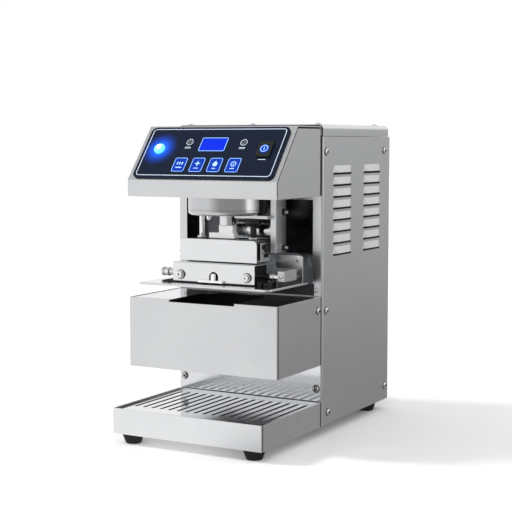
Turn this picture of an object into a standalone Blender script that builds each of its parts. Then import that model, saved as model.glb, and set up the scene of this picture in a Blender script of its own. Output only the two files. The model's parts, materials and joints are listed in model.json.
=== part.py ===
"""Desktop cup sealing machine, built as separate sub-parts.

Frame: origin on the floor below the middle of the machine, +X to the operator's right,
+Y towards the back, +Z up. All sizes are in metres.
"""
import math

import bmesh
import bpy
from mathutils import Matrix, Vector

# ---------------------------------------------------------------- driving dimensions
GAP = 0.0003            # clearance between touching pieces
SHEET = 0.0015          # stainless sheet thickness

BODY_W = 0.220          # width of hood, cup box and tray
COLUMN_W = 0.222        # width over the column's side panels
COLUMN_DEPTH = 0.2161   # column, front frame to back panel
FOOT_H = 0.0135         # height of the tray's underside above the floor
TRAY_REACH = 0.1623     # how far each front part stands out in front of the column
BOX_REACH = 0.1231
HOOD_REACH = 0.1252
INLET_PROUD = 0.0025    # mains inlet flange behind the back panel

FRONT_Y = (TRAY_REACH - COLUMN_DEPTH - INLET_PROUD) / 2      # column's front plane
BACK_Y = FRONT_Y + COLUMN_DEPTH                              # outside of the back panel
BODY_X = BODY_W / 2
SIDE_X = COLUMN_W / 2


def level(height_mm):
    """World height of a level given in millimetres above the tray's underside."""
    return FOOT_H + height_mm / 1000


def ahead(reach_mm):
    """World Y of a place given in millimetres in front of the column's front plane."""
    return FRONT_Y - reach_mm / 1000


BASE_Z = level(1.4)
TRAY_TOP = level(33.2)
BOX_BOTTOM, BOX_TOP = level(82.6), level(173.9)
TABLE_BOTTOM, TABLE_TOP = level(190.5), level(193.5)
CLAMP_BOTTOM, CLAMP_TOP = level(195.2), level(220.2)
HEAD_BOTTOM, HEAD_TOP = level(221.4), level(250.0)
BLOCK_TOP = level(267.3)          # top of the insulating block on the head
DRUM_BOTTOM, DRUM_TOP = level(281.5), level(334.0)
HOOD_BOTTOM, LIP_TOP, HOOD_TOP = level(305.3), level(326.9), level(396.0)
SLANT_RUN = 0.0558                # horizontal run of the slanted control face
COVER_BOTTOM, COVER_TOP = level(383.0), level(398.6)

PRESS_Y = ahead(55.5)             # vertical axis of the press
PRESS_STROKE = 0.010
ROD_X = 0.0385                    # guide rods either side of the press axis
ROD_R = 0.0042
ROD_HOLE_R = 0.0046
RAM_R = 0.011
SCREW_R = 0.004
SCREW_COLLAR_R, SCREW_COLLAR_H = 0.0065, 0.004
DRUM_R = 0.0515

CUP_SLOT_W = 0.097                # cup opening in the box top
SHAFT_Y, SHAFT_Z = ahead(68.0), level(203.5)
SHAFT_R = 0.0029
ROLLER_Y, ROLLER_Z, ROLLER_R = ahead(30.0), level(260.3), 0.0137
FILM_Y, FILM_Z, FILM_R = FRONT_Y + 0.095, level(215.0), 0.042
FAN_X, FAN_Z, FAN_SIZE, FAN_DEPTH = -0.045, level(300.0), 0.080, 0.025
INLET_X, INLET_Z = 0.060, level(40.0)

KEY_TRAVEL = 0.0006
BUTTON_TRAVEL = 0.002
COARSE, ROUND, FINE = 16, 28, 40  # segments round a turned piece

LOOKS = {                         # colour, metallic, roughness
    "stainless": ((0.72, 0.73, 0.74), 1.0, 0.28),
    "polished_steel": ((0.80, 0.80, 0.81), 1.0, 0.10),
    "aluminium": ((0.66, 0.67, 0.68), 1.0, 0.38),
    "black_rubber": ((0.02, 0.02, 0.02), 0.0, 0.75),
    "black_plastic": ((0.025, 0.025, 0.03), 0.0, 0.40),
    "black_steel": ((0.03, 0.03, 0.035), 0.8, 0.40),
    "white_plastic": ((0.85, 0.86, 0.87), 0.0, 0.35),
    "panel_navy": ((0.02, 0.03, 0.07), 0.0, 0.20),
    "blue_lens": ((0.02, 0.12, 0.95), 0.0, 0.15),
    "smoked_lens": ((0.10, 0.12, 0.16), 0.0, 0.20),
    "film": ((0.80, 0.84, 0.88), 0.0, 0.25),
    "circuit_green": ((0.03, 0.22, 0.10), 0.0, 0.50),
}


# ---------------------------------------------------------------- modelling helpers
def clear_scene():
    for thing in list(bpy.data.objects):
        bpy.data.objects.remove(thing, do_unlink=True)


def look_material(look):
    if look in bpy.data.materials:
        return bpy.data.materials[look]
    colour, metallic, roughness = LOOKS[look]
    material = bpy.data.materials.new(look)
    material.use_nodes = True
    shader = material.node_tree.nodes["Principled BSDF"]
    shader.inputs["Base Color"].default_value = (*colour, 1.0)
    shader.inputs["Metallic"].default_value = metallic
    shader.inputs["Roughness"].default_value = roughness
    return material


def add_object(name, bm, look, origin=(0, 0, 0), smooth=False):
    """Turn a bmesh drawn in world space into an object with the given origin."""
    bmesh.ops.recalc_face_normals(bm, faces=bm.faces)
    bmesh.ops.translate(bm, verts=bm.verts, vec=-Vector(origin))
    mesh = bpy.data.meshes.new(name)
    bm.to_mesh(mesh)
    bm.free()
    if smooth:
        mesh.shade_smooth()
        mesh.set_sharp_from_angle(angle=math.radians(40))
    mesh.materials.append(look_material(look))
    thing = bpy.data.objects.new(name, mesh)
    thing.location = origin
    bpy.context.scene.collection.objects.link(thing)
    return thing


def arc(centre, radius, start_deg, end_deg, steps):
    """Points on an arc, both ends included."""
    points = []
    for i in range(steps + 1):
        angle = math.radians(start_deg + (end_deg - start_deg) * i / steps)
        points.append((centre[0] + radius * math.cos(angle), centre[1] + radius * math.sin(angle)))
    return points


def circle(centre, radius, steps):
    return arc(centre, radius, 0, 360, steps)[:-1]


def rectangle(low, high):
    return [(low[0], low[1]), (high[0], low[1]), (high[0], high[1]), (low[0], high[1])]


def rounded(points, radius, steps=4):
    """Round the corners of an outline; radius is one number, or one for each corner."""
    radii = radius if isinstance(radius, (list, tuple)) else [radius] * len(points)
    result = []
    for i, corner in enumerate(points):
        if radii[i] <= 0:
            result.append(corner)
            continue
        here = Vector(corner)
        back = (Vector(points[i - 1]) - here).normalized()
        forth = (Vector(points[(i + 1) % len(points)]) - here).normalized()
        half = back.angle(forth) / 2
        centre = here + (back + forth).normalized() * radii[i] / math.sin(half)
        first = here + back * radii[i] / math.tan(half) - centre
        last = here + forth * radii[i] / math.tan(half) - centre
        for k in range(steps + 1):
            spoke = first.lerp(last, k / steps).normalized() * radii[i]
            result.append(tuple(centre + spoke))
    return result


def box_bmesh(bm, low, high):
    size = Vector(high) - Vector(low)
    middle = (Vector(high) + Vector(low)) / 2
    bmesh.ops.create_cube(bm, size=1.0, matrix=Matrix.Translation(middle) @ Matrix.Diagonal((*size, 1)))


def block(name, low, high, look, origin=(0, 0, 0), edge=0.0):
    """A box between two world corners, with an optional small chamfer."""
    bm = bmesh.new()
    box_bmesh(bm, low, high)
    if edge:
        bmesh.ops.bevel(bm, geom=bm.edges[:], offset=edge, segments=1, affect="EDGES")
    return add_object(name, bm, look, origin)


AXES = {                          # outline u, outline v, extrusion direction
    "x": ((0, 1, 0), (0, 0, 1), (1, 0, 0)),
    "y": ((1, 0, 0), (0, 0, 1), (0, 1, 0)),
    "z": ((1, 0, 0), (0, 1, 0), (0, 0, 1)),
}


def plate_bmesh(bm, outline, holes, place, low, high):
    """Extrude an outline with holes from low to high along a placement's third axis."""
    edges = []
    for loop in [outline, *holes]:
        verts = [bm.verts.new(place @ Vector((u, v, low))) for u, v in loop]
        for i, vert in enumerate(verts):
            edges.append(bm.edges.new((vert, verts[(i + 1) % len(verts)])))
    normal = place.to_3x3() @ Vector((0, 0, 1))
    filled = bmesh.ops.triangle_fill(bm, edges=edges, use_beauty=True, use_dissolve=False, normal=normal)
    faces = [item for item in filled["geom"] if isinstance(item, bmesh.types.BMFace)]
    grown = bmesh.ops.extrude_face_region(bm, geom=faces, use_keep_orig=True)
    moved = [item for item in grown["geom"] if isinstance(item, bmesh.types.BMVert)]
    bmesh.ops.translate(bm, verts=moved, vec=normal * (high - low))


def plate(name, outline, axis, low, high, look, holes=(), origin=(0, 0, 0), smooth=False):
    """A flat piece: outline in the plane across an axis, between two places along it."""
    bm = bmesh.new()
    place = axis if isinstance(axis, Matrix) else Matrix([*zip(*AXES[axis])]).to_4x4()
    plate_bmesh(bm, outline, holes, place, low, high)
    return add_object(name, bm, look, origin, smooth)


def turned(name, profile, look, centre, axis="z", steps=ROUND, smooth=True):
    """Turn a closed (radius, height) profile round an axis through centre."""
    turn = {"z": Matrix.Identity(3), "x": Matrix.Rotation(math.pi / 2, 3, "Y"),
            "y": Matrix.Rotation(-math.pi / 2, 3, "X")}
    to_world = axis.to_3x3() if isinstance(axis, Matrix) else turn[axis]
    bm = bmesh.new()
    rings = []
    for radius, height in profile:
        if radius < 1e-9:
            rings.append([bm.verts.new(Vector(centre) + to_world @ Vector((0, 0, height)))] * steps)
            continue
        ring = []
        for x, y in circle((0, 0), radius, steps):
            ring.append(bm.verts.new(Vector(centre) + to_world @ Vector((x, y, height))))
        rings.append(ring)
    for i, ring in enumerate(rings):
        following = rings[(i + 1) % len(rings)]
        if ring[0] is ring[1] and following[0] is following[1]:
            continue
        for k in range(steps):
            corners = [ring[k], ring[(k + 1) % steps], following[(k + 1) % steps], following[k]]
            bm.faces.new(list(dict.fromkeys(corners)))
    return add_object(name, bm, look, centre, smooth)


def boolean(target, tool, operation):
    """Add a Boolean and hide its tool, which is only a guide."""
    tool.hide_render = True
    tool.display_type = "WIRE"
    modifier = target.modifiers.new(operation.lower(), "BOOLEAN")
    modifier.operation = operation
    modifier.object = tool
    modifier.solver = "EXACT"


def cut(target, tool):
    boolean(target, tool, "DIFFERENCE")


def join(target, tool):
    boolean(target, tool, "UNION")


def many_plates(name, outlines, place, low, high, look):
    """Several separate flat pieces in one guide object."""
    bm = bmesh.new()
    for outline in outlines:
        plate_bmesh(bm, outline, [], place, low, high)
    return add_object(name, bm, look)


# ---------------------------------------------------------------- column
LOUVRE_ROWS, LOUVRE_PITCH, LOUVRE_FIRST = 8, 0.0154, level(341.5)
LOUVRE_BANKS = ((0.0285, 0.0895), (0.1245, 0.1855))       # distances behind the front plane
LOUVRE_H, LOUVRE_PROUD = 0.0092, 0.003


def louvre_wedges(name, side, proud, inset, root, drop):
    """Wedge prisms for every louvre of a side panel, as one guide object.

    Each wedge slopes outwards to its full reach at its lower edge; root is how deep it starts
    inside the sheet, drop how far it goes on below the louvre's lower edge.
    """
    bm = bmesh.new()
    place = Matrix([*zip((side, 0, 0), (0, 0, 1), (0, 1, 0))]).to_4x4()
    for row in range(LOUVRE_ROWS):
        low = LOUVRE_FIRST - row * LOUVRE_PITCH - LOUVRE_H
        peak = low + (root + proud) * LOUVRE_H / LOUVRE_PROUD
        outline = [(SIDE_X - root, peak), (SIDE_X + proud, low), (SIDE_X + proud, low - drop),
                   (SIDE_X - root, low - drop)]
        if not drop:
            outline.pop(2)
        for near, far in LOUVRE_BANKS:
            plate_bmesh(bm, outline, [], place, FRONT_Y + near + inset, FRONT_Y + far - inset)
    return add_object(name, bm, "stainless")


def side_panel(name, side):
    inner, outer = sorted((side * (SIDE_X - SHEET), side * SIDE_X))
    panel = block(name, (inner, FRONT_Y, BASE_Z), (outer, BACK_Y, COVER_BOTTOM - GAP), "stainless")
    join(panel, louvre_wedges(name + "_scoops", side, LOUVRE_PROUD, 0.0, SHEET / 2, 0.0))
    cut(panel, louvre_wedges(name + "_slots", side, LOUVRE_PROUD - 0.0011, 0.001, SHEET * 2, 0.0005))


def column():
    inside = SIDE_X - SHEET - GAP
    back_inner = BACK_Y - SHEET
    block("base_plate", (-inside, FRONT_Y + SHEET + GAP, BASE_Z), (inside, back_inner - GAP, BASE_Z + SHEET),
          "stainless")
    side_panel("side_panel_left", -1)
    side_panel("side_panel_right", 1)

    frame_x = BODY_X - 0.0015
    window = rectangle((-0.098, level(190.2)), (0.0965, level(300.0)))
    cable_window = rounded(rectangle((-0.060, level(345)), (0.060, level(370))), 0.004, 3)
    front_outline = rectangle((-frame_x, BOX_BOTTOM), (frame_x, COVER_BOTTOM - GAP))
    plate("front_frame", front_outline, "y", FRONT_Y, FRONT_Y + SHEET, "stainless", [window, cable_window])
    plate("lower_panel", rectangle((-frame_x, level(3.5)), (frame_x, BOX_BOTTOM - GAP)), "y",
          FRONT_Y, FRONT_Y + SHEET, "polished_steel")

    liner_low = (-0.0995, FRONT_Y + SHEET + GAP, level(226.5))
    liner_high = (0.098, FRONT_Y + 0.0295, level(302.0))
    liner = block("recess_liner", liner_low, liner_high, "polished_steel")
    cut(liner, block("recess_liner_inside",
                     (liner_low[0] + SHEET, liner_low[1] - 0.01, liner_low[2] - 0.01),
                     (liner_high[0] - SHEET, liner_high[1] - SHEET, liner_high[2] - SHEET), "polished_steel"))

    back_panel(inside, back_inner)
    top_cover()


def back_panel(inside, inner_y):
    """Back panel with a fan opening stamped as ring slots, and the mains inlet's window."""
    holes = []
    quarter = 78
    for inner, outer in ((0.009, 0.0145), (0.0185, 0.024), (0.028, 0.0335)):
        for turn in range(4):
            start = 45 + 90 * turn - quarter / 2
            slot = arc((FAN_X, FAN_Z), outer, start, start + quarter, 6)
            slot += arc((FAN_X, FAN_Z), inner, start + quarter, start, 6)
            holes.append(slot)
    holes.append(rectangle((INLET_X - 0.0142, INLET_Z - 0.0105), (INLET_X + 0.0142, INLET_Z + 0.0105)))
    outline = rectangle((-inside, BASE_Z), (inside, COVER_BOTTOM - GAP))
    plate("back_panel", outline, "y", inner_y, BACK_Y, "stainless", holes)


COVER_BEND_R = 0.0065
COVER_SCREWS = ((-0.098, 0.012), (0.0, 0.012), (0.098, 0.012), (0.098, 0.190))


def top_cover():
    """Lid pressed from sheet: four turned-down lips, with round bends at the sides and the back."""
    def shell(name, inset, low_z, steps):
        bm = bmesh.new()
        high = (SIDE_X - inset, BACK_Y - inset, COVER_TOP - inset)
        box_bmesh(bm, (-SIDE_X + inset, FRONT_Y + inset, low_z), high)
        bends = []
        for edge in bm.edges:
            middle = (edge.verts[0].co + edge.verts[1].co) / 2
            on_top = middle.z > COVER_TOP - inset - 1e-6
            at_side = abs(middle.x) > SIDE_X - inset - 1e-6
            at_back = middle.y > BACK_Y - inset - 1e-6
            if (on_top and (at_side or at_back)) or (at_side and at_back):
                bends.append(edge)
        radius = COVER_BEND_R - inset
        bmesh.ops.bevel(bm, geom=bends, offset=radius, segments=steps, profile=0.5, affect="EDGES")
        return add_object(name, bm, "stainless", smooth=True)
    cover = shell("top_cover", 0.0, COVER_BOTTOM, 4)
    cut(cover, shell("top_cover_inside", SHEET, COVER_BOTTOM - 0.01, 4))
    for number, (x, back) in enumerate(COVER_SCREWS, start=1):
        place = (x, FRONT_Y + back, COVER_TOP)
        cut(cover, turned("cover_screw_hole_%d" % number, [(0, -0.004), (0.0022, -0.004), (0.0022, 0.004),
                                                           (0, 0.004)], "stainless", place, steps=COARSE))
        head = [(0, -0.008), (0.0017, -0.008), (0.0017, GAP), (0.0036, GAP), (0.0034, 0.0012),
                (0.0022, 0.0022), (0, 0.0022)]
        turned("cover_screw_%d" % number, head, "stainless", place, steps=COARSE)


# ---------------------------------------------------------------- hood and control panel
SLANT_FOOT = Vector((0, FRONT_Y - HOOD_REACH, LIP_TOP))
SLANT_HEAD = Vector((0, FRONT_Y - HOOD_REACH + SLANT_RUN, HOOD_TOP))
SLANT_UP = (SLANT_HEAD - SLANT_FOOT).normalized()
SLANT_OUT = Vector((1, 0, 0)).cross(SLANT_UP)


def slant_matrix():
    """Placement of the slanted face: u across, v up the slope, w outwards from the sheet."""
    matrix = Matrix([*zip((1, 0, 0), SLANT_UP, SLANT_OUT)]).to_4x4()
    matrix.translation = SLANT_FOOT
    return matrix


def slant_point(across, up, out=0.0):
    return SLANT_FOOT + Vector((across, 0, 0)) + SLANT_UP * up + SLANT_OUT * out


LAMP_AT = (-0.0785, 0.049)
SWITCH_AT = (0.0785, 0.048)
KEY_SIZE = (0.0167, 0.0203)
KEY_UP = 0.0237
KEY_ACROSS = (-0.0382, -0.0118, 0.0143, 0.0410)
DISPLAY_AT, DISPLAY_SIZE = (0.0, 0.0568), (0.0365, 0.0198)
INDICATORS = (("indicator_left", (-0.0365, 0.0605)), ("indicator_right", (0.0440, 0.0600)))
INDICATOR_R = 0.0048
LAMP_R = 0.0077
SWITCH_HOLE = (0.0166, 0.0196)
PANEL_T = 0.002


def centred(at, size, grow=0.0):
    """Rectangle outline of a size about a point, grown on every side."""
    half = (size[0] / 2 + grow, size[1] / 2 + grow)
    return rectangle((at[0] - half[0], at[1] - half[1]), (at[0] + half[0], at[1] + half[1]))


def hood():
    slant = slant_matrix()
    front, back = FRONT_Y - HOOD_REACH, FRONT_Y - GAP
    profile = rounded([(front, HOOD_BOTTOM), (front, LIP_TOP), (front + SLANT_RUN, HOOD_TOP), (back, HOOD_TOP),
                       (back, HOOD_BOTTOM)], [0, 0.003, 0.003, 0, 0], 3)
    shell = plate("hood_shell", profile, "x", -BODY_X, BODY_X, "stainless")
    slope = SLANT_UP.z / SLANT_UP.y
    drop = SHEET / SLANT_UP.y
    bend_z = LIP_TOP + SHEET * slope - drop
    head_y = front + SLANT_RUN + (drop - SHEET) / slope
    inner = [(front + SHEET, HOOD_BOTTOM - 0.01), (front + SHEET, bend_z), (head_y, HOOD_TOP - SHEET),
             (back + 0.01, HOOD_TOP - SHEET), (back + 0.01, HOOD_BOTTOM - 0.01)]
    cut(shell, plate("hood_inside", inner, "x", SHEET - BODY_X, BODY_X - SHEET, "stainless"))
    openings = [circle(LAMP_AT, 0.0062, 24), centred(SWITCH_AT, SWITCH_HOLE, GAP)]
    cut(shell, many_plates("hood_button_holes", openings, slant, -0.005, 0.005, "stainless"))

    floor_outline = rectangle((SHEET + GAP - BODY_X, front + SHEET + GAP), (BODY_X - SHEET - GAP, back - GAP))
    plate("hood_floor", floor_outline, "z", HOOD_BOTTOM + GAP, HOOD_BOTTOM + GAP + SHEET, "stainless",
          [circle((0, PRESS_Y), DRUM_R + 0.0005, FINE)])


def control_panel():
    slant = slant_matrix()
    outline = rounded(rectangle((-0.1035, 0.0025), (0.1035, 0.0852)), 0.008, 5)
    holes = [circle(LAMP_AT, LAMP_R + GAP, 24), centred(SWITCH_AT, SWITCH_HOLE, GAP),
             rounded(centred(DISPLAY_AT, DISPLAY_SIZE), 0.001, 2)]
    holes += [circle(at, INDICATOR_R + GAP, 20) for _, at in INDICATORS]
    holes += [rounded(centred((across, KEY_UP), KEY_SIZE), 0.0018, 3) for across in KEY_ACROSS]
    plate("control_panel", outline, slant, GAP, GAP + PANEL_T, "panel_navy", holes, SLANT_FOOT)
    plate("display_window", rounded(centred(DISPLAY_AT, DISPLAY_SIZE, -GAP), 0.0008, 2), slant,
          2 * GAP, 0.0021, "blue_lens", origin=slant_point(*DISPLAY_AT))
    for name, at in INDICATORS:
        crown, shoulder, top = INDICATOR_R * 0.7, 0.0020, 0.0027
        lens = [(0, 2 * GAP), (INDICATOR_R, 2 * GAP), (INDICATOR_R, shoulder), (crown, 0.0025), (0, top)]
        turned(name, lens, "smoked_lens", slant_point(*at), slant, 20)
    for number, across in enumerate(KEY_ACROSS, start=1):
        cap = rounded(centred((across, KEY_UP), KEY_SIZE, -GAP), 0.0016, 3)
        plate("key_%d" % number, cap, slant, GAP + KEY_TRAVEL + 0.0002, 0.0024, "blue_lens",
              origin=slant_point(across, KEY_UP))
    start_button(slant)
    power_switch(slant)

    board = rectangle((-0.060, 0.022), (0.060, 0.070))
    plate("control_board", board, slant, -0.0070, -0.0054, "circuit_green",
          origin=slant_point(0, 0.046, -0.0062))


def start_button(slant):
    """Glowing domed push button: a stem through the hood and a dome over the panel."""
    seat = PANEL_T + GAP + BUTTON_TRAVEL
    dome_h = 0.0048
    dome = [(LAMP_R * math.cos(math.radians(a)), seat + 0.0008 + dome_h * math.sin(math.radians(a)))
            for a in range(0, 90, 18)]
    profile = [(0, -0.010), (0.005, -0.010), (0.005, seat - 0.002), (LAMP_R, seat - 0.002)]
    profile += dome + [(0, seat + 0.0008 + dome_h)]
    turned("start_button", profile, "blue_lens", slant_point(*LAMP_AT), slant, 24)


def power_switch(slant):
    """Square black switch body with a round lit push cap."""
    seat = PANEL_T + 2 * GAP
    body = plate("switch_bezel", centred(SWITCH_AT, SWITCH_HOLE), slant, -0.012, seat + GAP, "black_plastic",
                 origin=slant_point(*SWITCH_AT))
    join(body, plate("switch_flange", rounded(centred(SWITCH_AT, (0.0200, 0.0236)), 0.001, 2), slant,
                     seat, seat + 0.0022, "black_plastic"))
    cut(body, turned("switch_well", [(0, -0.009), (0.0068, -0.009), (0.0068, 0.008), (0, 0.008)],
                     "black_plastic", slant_point(*SWITCH_AT), slant, 24))
    cap = [(0, -0.0065), (0.0064, -0.0065), (0.0064, 0.0050), (0.0058, 0.0056), (0, 0.0056)]
    turned("switch_cap", cap, "blue_lens", slant_point(*SWITCH_AT), slant, 24)


# ---------------------------------------------------------------- press
def press_drive():
    wall, floor = 0.002, 0.003
    inner = DRUM_R - wall
    flange_low, flange_high = HOOD_BOTTOM + SHEET + 2 * GAP, HOOD_BOTTOM + SHEET + 2 * GAP + 0.002
    lip = 0.004
    rounding = arc((DRUM_R - lip, DRUM_BOTTOM + lip), lip, -90, 0, 3)
    profile = [(RAM_R + GAP, DRUM_BOTTOM + floor), (RAM_R + GAP, DRUM_BOTTOM), *rounding,
               (DRUM_R, flange_low), (DRUM_R + 0.003, flange_low), (DRUM_R + 0.003, flange_high),
               (DRUM_R, flange_high), (DRUM_R, DRUM_TOP), (inner, DRUM_TOP), (inner, DRUM_BOTTOM + floor)]
    drum = turned("drive_housing", profile, "polished_steel", (0, PRESS_Y, 0), steps=FINE)
    for side, tag in ((-1, "left"), (1, "right")):
        hole = [(0, -0.01), (ROD_HOLE_R, -0.01), (ROD_HOLE_R, 0.01), (0, 0.01)]
        at = (side * ROD_X, PRESS_Y, DRUM_BOTTOM)
        cut(drum, turned("drum_rod_hole_" + tag, hole, "polished_steel", at, steps=COARSE))
    low = DRUM_TOP + GAP
    motor = [(0, low), (DRUM_R, low), (DRUM_R, low + 0.003), (0.0215, low + 0.003), (0.0215, low + 0.030),
             (0.0200, low + 0.0315), (0, low + 0.0315)]
    turned("press_motor", motor, "aluminium", (0, PRESS_Y, 0))
    screw_top, screw_end = DRUM_TOP - GAP, BLOCK_TOP + 0.0235
    collar_low = screw_top - SCREW_COLLAR_H
    screw = [(0, screw_end), (SCREW_R - 0.0006, screw_end), (SCREW_R, screw_end + 0.0008), (SCREW_R, collar_low),
             (SCREW_COLLAR_R, collar_low), (SCREW_COLLAR_R, screw_top), (0, screw_top)]
    turned("lead_screw", screw, "polished_steel", (0, PRESS_Y, 0), steps=COARSE)


def press_head():
    """Everything that goes up and down with the ram."""
    ram_low, bore_low = BLOCK_TOP + GAP, BLOCK_TOP + 0.012
    ram_top = DRUM_TOP - SCREW_COLLAR_H - PRESS_STROKE - 0.001
    bore = SCREW_R + GAP
    ram = [(0, ram_low), (RAM_R, ram_low), (RAM_R, ram_top), (bore, ram_top), (bore, bore_low), (0, bore_low)]
    turned("ram", ram, "polished_steel", (0, PRESS_Y, 0))
    rod_low, rod_top = HEAD_TOP + GAP, DRUM_TOP - 0.0165
    for side, tag, look in ((-1, "left", "polished_steel"), (1, "right", "black_steel")):
        rod = [(0, rod_low), (ROD_R, rod_low), (ROD_R, rod_top - 0.001), (ROD_R - 0.001, rod_top), (0, rod_top)]
        turned("guide_rod_" + tag, rod, look, (side * ROD_X, PRESS_Y, 0), steps=COARSE)

    foot_top = level(257.2)
    foot_low = HEAD_TOP + GAP
    foot_left, foot_right, post = -0.0255, 0.0125, 0.0105
    outline = [(foot_left, foot_low), (foot_right, foot_low), (foot_right, foot_top), (post, foot_top),
               (post, BLOCK_TOP), (-post, BLOCK_TOP), (-post, foot_top), (foot_left, foot_top)]
    plate("insulator_block", outline, "y", PRESS_Y - 0.0055, PRESS_Y + 0.0055, "white_plastic",
          origin=(0, PRESS_Y, foot_low))

    heater_x = 0.0575
    block("heater_block", (-heater_x, ahead(70.5), level(222.0)), (heater_x, ahead(46.8), level(246.5)),
          "aluminium", edge=0.0004)
    front, cover_t, cover_x = ahead(81.6), 0.0012, 0.0578
    face = rounded(rectangle((-cover_x, HEAD_BOTTOM), (cover_x, HEAD_TOP)), [0, 0, 0.004, 0.004])
    cover = plate("heater_cover", face, "y", front, front + cover_t, "stainless")
    join(cover, block("heater_cover_top", (0.004 - cover_x, front + cover_t / 2, HEAD_TOP - cover_t),
                      (cover_x - 0.004, ahead(46.8), HEAD_TOP), "stainless"))


def hanger():
    """Bracket below the hood: a shelf under the drum and an upright that carries the film roller."""
    shelf_low, shelf_high = level(277.2), DRUM_BOTTOM - GAP
    upright_in, upright_out = 0.0620, 0.0705
    bracket = block("hanger_bracket", (upright_in, ahead(53.0), level(232.8)),
                    (upright_out, ahead(26.0), HOOD_BOTTOM), "stainless", edge=0.0004)
    shelf = rectangle((0.0145, ahead(63.0)), (upright_in + 0.001, ahead(42.0)))
    join(bracket, plate("hanger_shelf", shelf, "z", shelf_low, shelf_high, "stainless",
                        [circle((ROD_X, PRESS_Y), ROD_HOLE_R, COARSE)]))
    stud = [(0, -0.054), (0.003, -0.054), (0.003, 0.002), (0, 0.002)]
    join(bracket, turned("roller_stud", stud, "stainless", (upright_in, ROLLER_Y, ROLLER_Z), "x", COARSE))
    bore, chamfer, length = 0.0034, 0.0008, 0.057
    roller = [(bore, 0), (ROLLER_R - chamfer, 0), (ROLLER_R, chamfer), (ROLLER_R, length - chamfer),
              (ROLLER_R - chamfer, length), (bore, length)]
    turned("film_roller", roller, "polished_steel", (0.0040, ROLLER_Y, ROLLER_Z), "x")

    head_top = shelf_low - GAP
    bush = [(ROD_HOLE_R, head_top - 0.0102), (0.0092, head_top - 0.0102), (0.0109, head_top - 0.0090),
            (0.0109, head_top), (ROD_HOLE_R, head_top)]
    turned("guide_bush", bush, "black_plastic", (ROD_X, PRESS_Y, 0), steps=24)


# ---------------------------------------------------------------- lower jaw and table
def table():
    low_x, high_x, neck = -0.097, 0.097, 0.060
    front, back, tongue = ahead(119.5), ahead(13.0), FRONT_Y + 0.014
    outline = rounded([(low_x, front), (high_x, front), (high_x, back), (neck, back), (neck, tongue), (-neck, tongue),
                       (-neck, back), (low_x, back)], [0.004, 0.009, 0, 0, 0, 0, 0, 0])
    plate("table_plate", outline, "z", TABLE_BOTTOM, TABLE_TOP, "polished_steel")
    strip = rectangle((-0.078, ahead(95.0)), (0.061, ahead(48.0)))
    plate("rubber_strip", strip, "z", TABLE_TOP + GAP, CLAMP_BOTTOM - GAP, "black_rubber")


def arched(low_x, high_x, low_z, high_z, steps=6):
    """Upright slot outline with a round top."""
    radius = (high_x - low_x) / 2
    crown = arc(((low_x + high_x) / 2, high_z - radius), radius, 0, 180, steps)
    return [(low_x, low_z), (high_x, low_z), *crown]


def lower_jaw():
    front, back, half_w = ahead(93.1), ahead(48.0), 0.061
    notch_x = (-0.0062, 0.0075)
    jaw_face = plate("clamp_cover", rectangle((-half_w, CLAMP_BOTTOM), (half_w, CLAMP_TOP)), "y", front,
                     front + SHEET, "stainless")
    join(jaw_face, block("clamp_cover_top", (-half_w, front + SHEET / 2, CLAMP_TOP - SHEET),
                         (half_w, back, CLAMP_TOP), "stainless"))
    notch = arched(*notch_x, CLAMP_BOTTOM - 0.01, level(209.0))
    cut(jaw_face, plate("clamp_notch", notch, "y", front - 0.01, front + 0.01, "stainless"))

    block_front = front + SHEET + GAP
    core = block("clamp_block", (-0.054, block_front, CLAMP_BOTTOM), (0.054, back, CLAMP_TOP - SHEET - GAP),
                 "black_steel")
    pocket = arched(notch_x[0] - 0.001, notch_x[1] + 0.001, CLAMP_BOTTOM - 0.01, level(210.5))
    cut(core, plate("clamp_pocket", pocket, "y", block_front - 0.01, block_front + 0.012, "black_steel"))
    cut(core, turned("shaft_bore", [(0, -0.08), (SHAFT_R + GAP, -0.08), (SHAFT_R + GAP, 0.08), (0, 0.08)],
                     "black_steel", (0, SHAFT_Y, SHAFT_Z), "x", COARSE))

    post_x, post_y = -0.0021, ahead(89.0)
    post = turned("sensor_post", [(0, CLAMP_BOTTOM), (0.0035, CLAMP_BOTTOM), (0.0035, level(205.4)),
                                  (0.0027, level(206.2)), (0, level(206.2))],
                  "white_plastic", (post_x, post_y, 0), steps=20)
    link_low, link_high = (post_x - 0.002, ahead(97.0), CLAMP_BOTTOM), (post_x + 0.002, post_y, level(197.0))
    join(post, block("sensor_link", link_low, link_high,
                     "white_plastic"))
    join(post, block("sensor_tab", (-0.0205, ahead(97.5), CLAMP_BOTTOM), (0.0160, ahead(93.5), level(197.9)),
                     "white_plastic"))
    draw_shaft()
    right_arm()


def draw_shaft():
    """Cross shaft of the lower jaw: hand knob on the left, collar on the right."""
    knob_r, collar_r = 0.0060, 0.0055
    knob_end, knob_root, jaw_side = -0.095, -0.080, 0.0625
    collar_low, collar_high, shaft_end = 0.0700, 0.0860, 0.0930
    profile = [(0, knob_end), (0.0040, knob_end), (0.0055, knob_end + 0.0012), (knob_r, knob_end + 0.003),
               (knob_r, knob_root - 0.001), (0.0045, knob_root), (0.0045, -jaw_side), (SHAFT_R, -jaw_side),
               (SHAFT_R, collar_low), (collar_r - 0.0008, collar_low), (collar_r, collar_low + 0.0008),
               (collar_r, collar_high - GAP), (SHAFT_R, collar_high - GAP), (SHAFT_R, shaft_end), (0, shaft_end)]
    turned("draw_shaft", profile, "polished_steel", (0, SHAFT_Y, SHAFT_Z), "x", 20)


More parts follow.
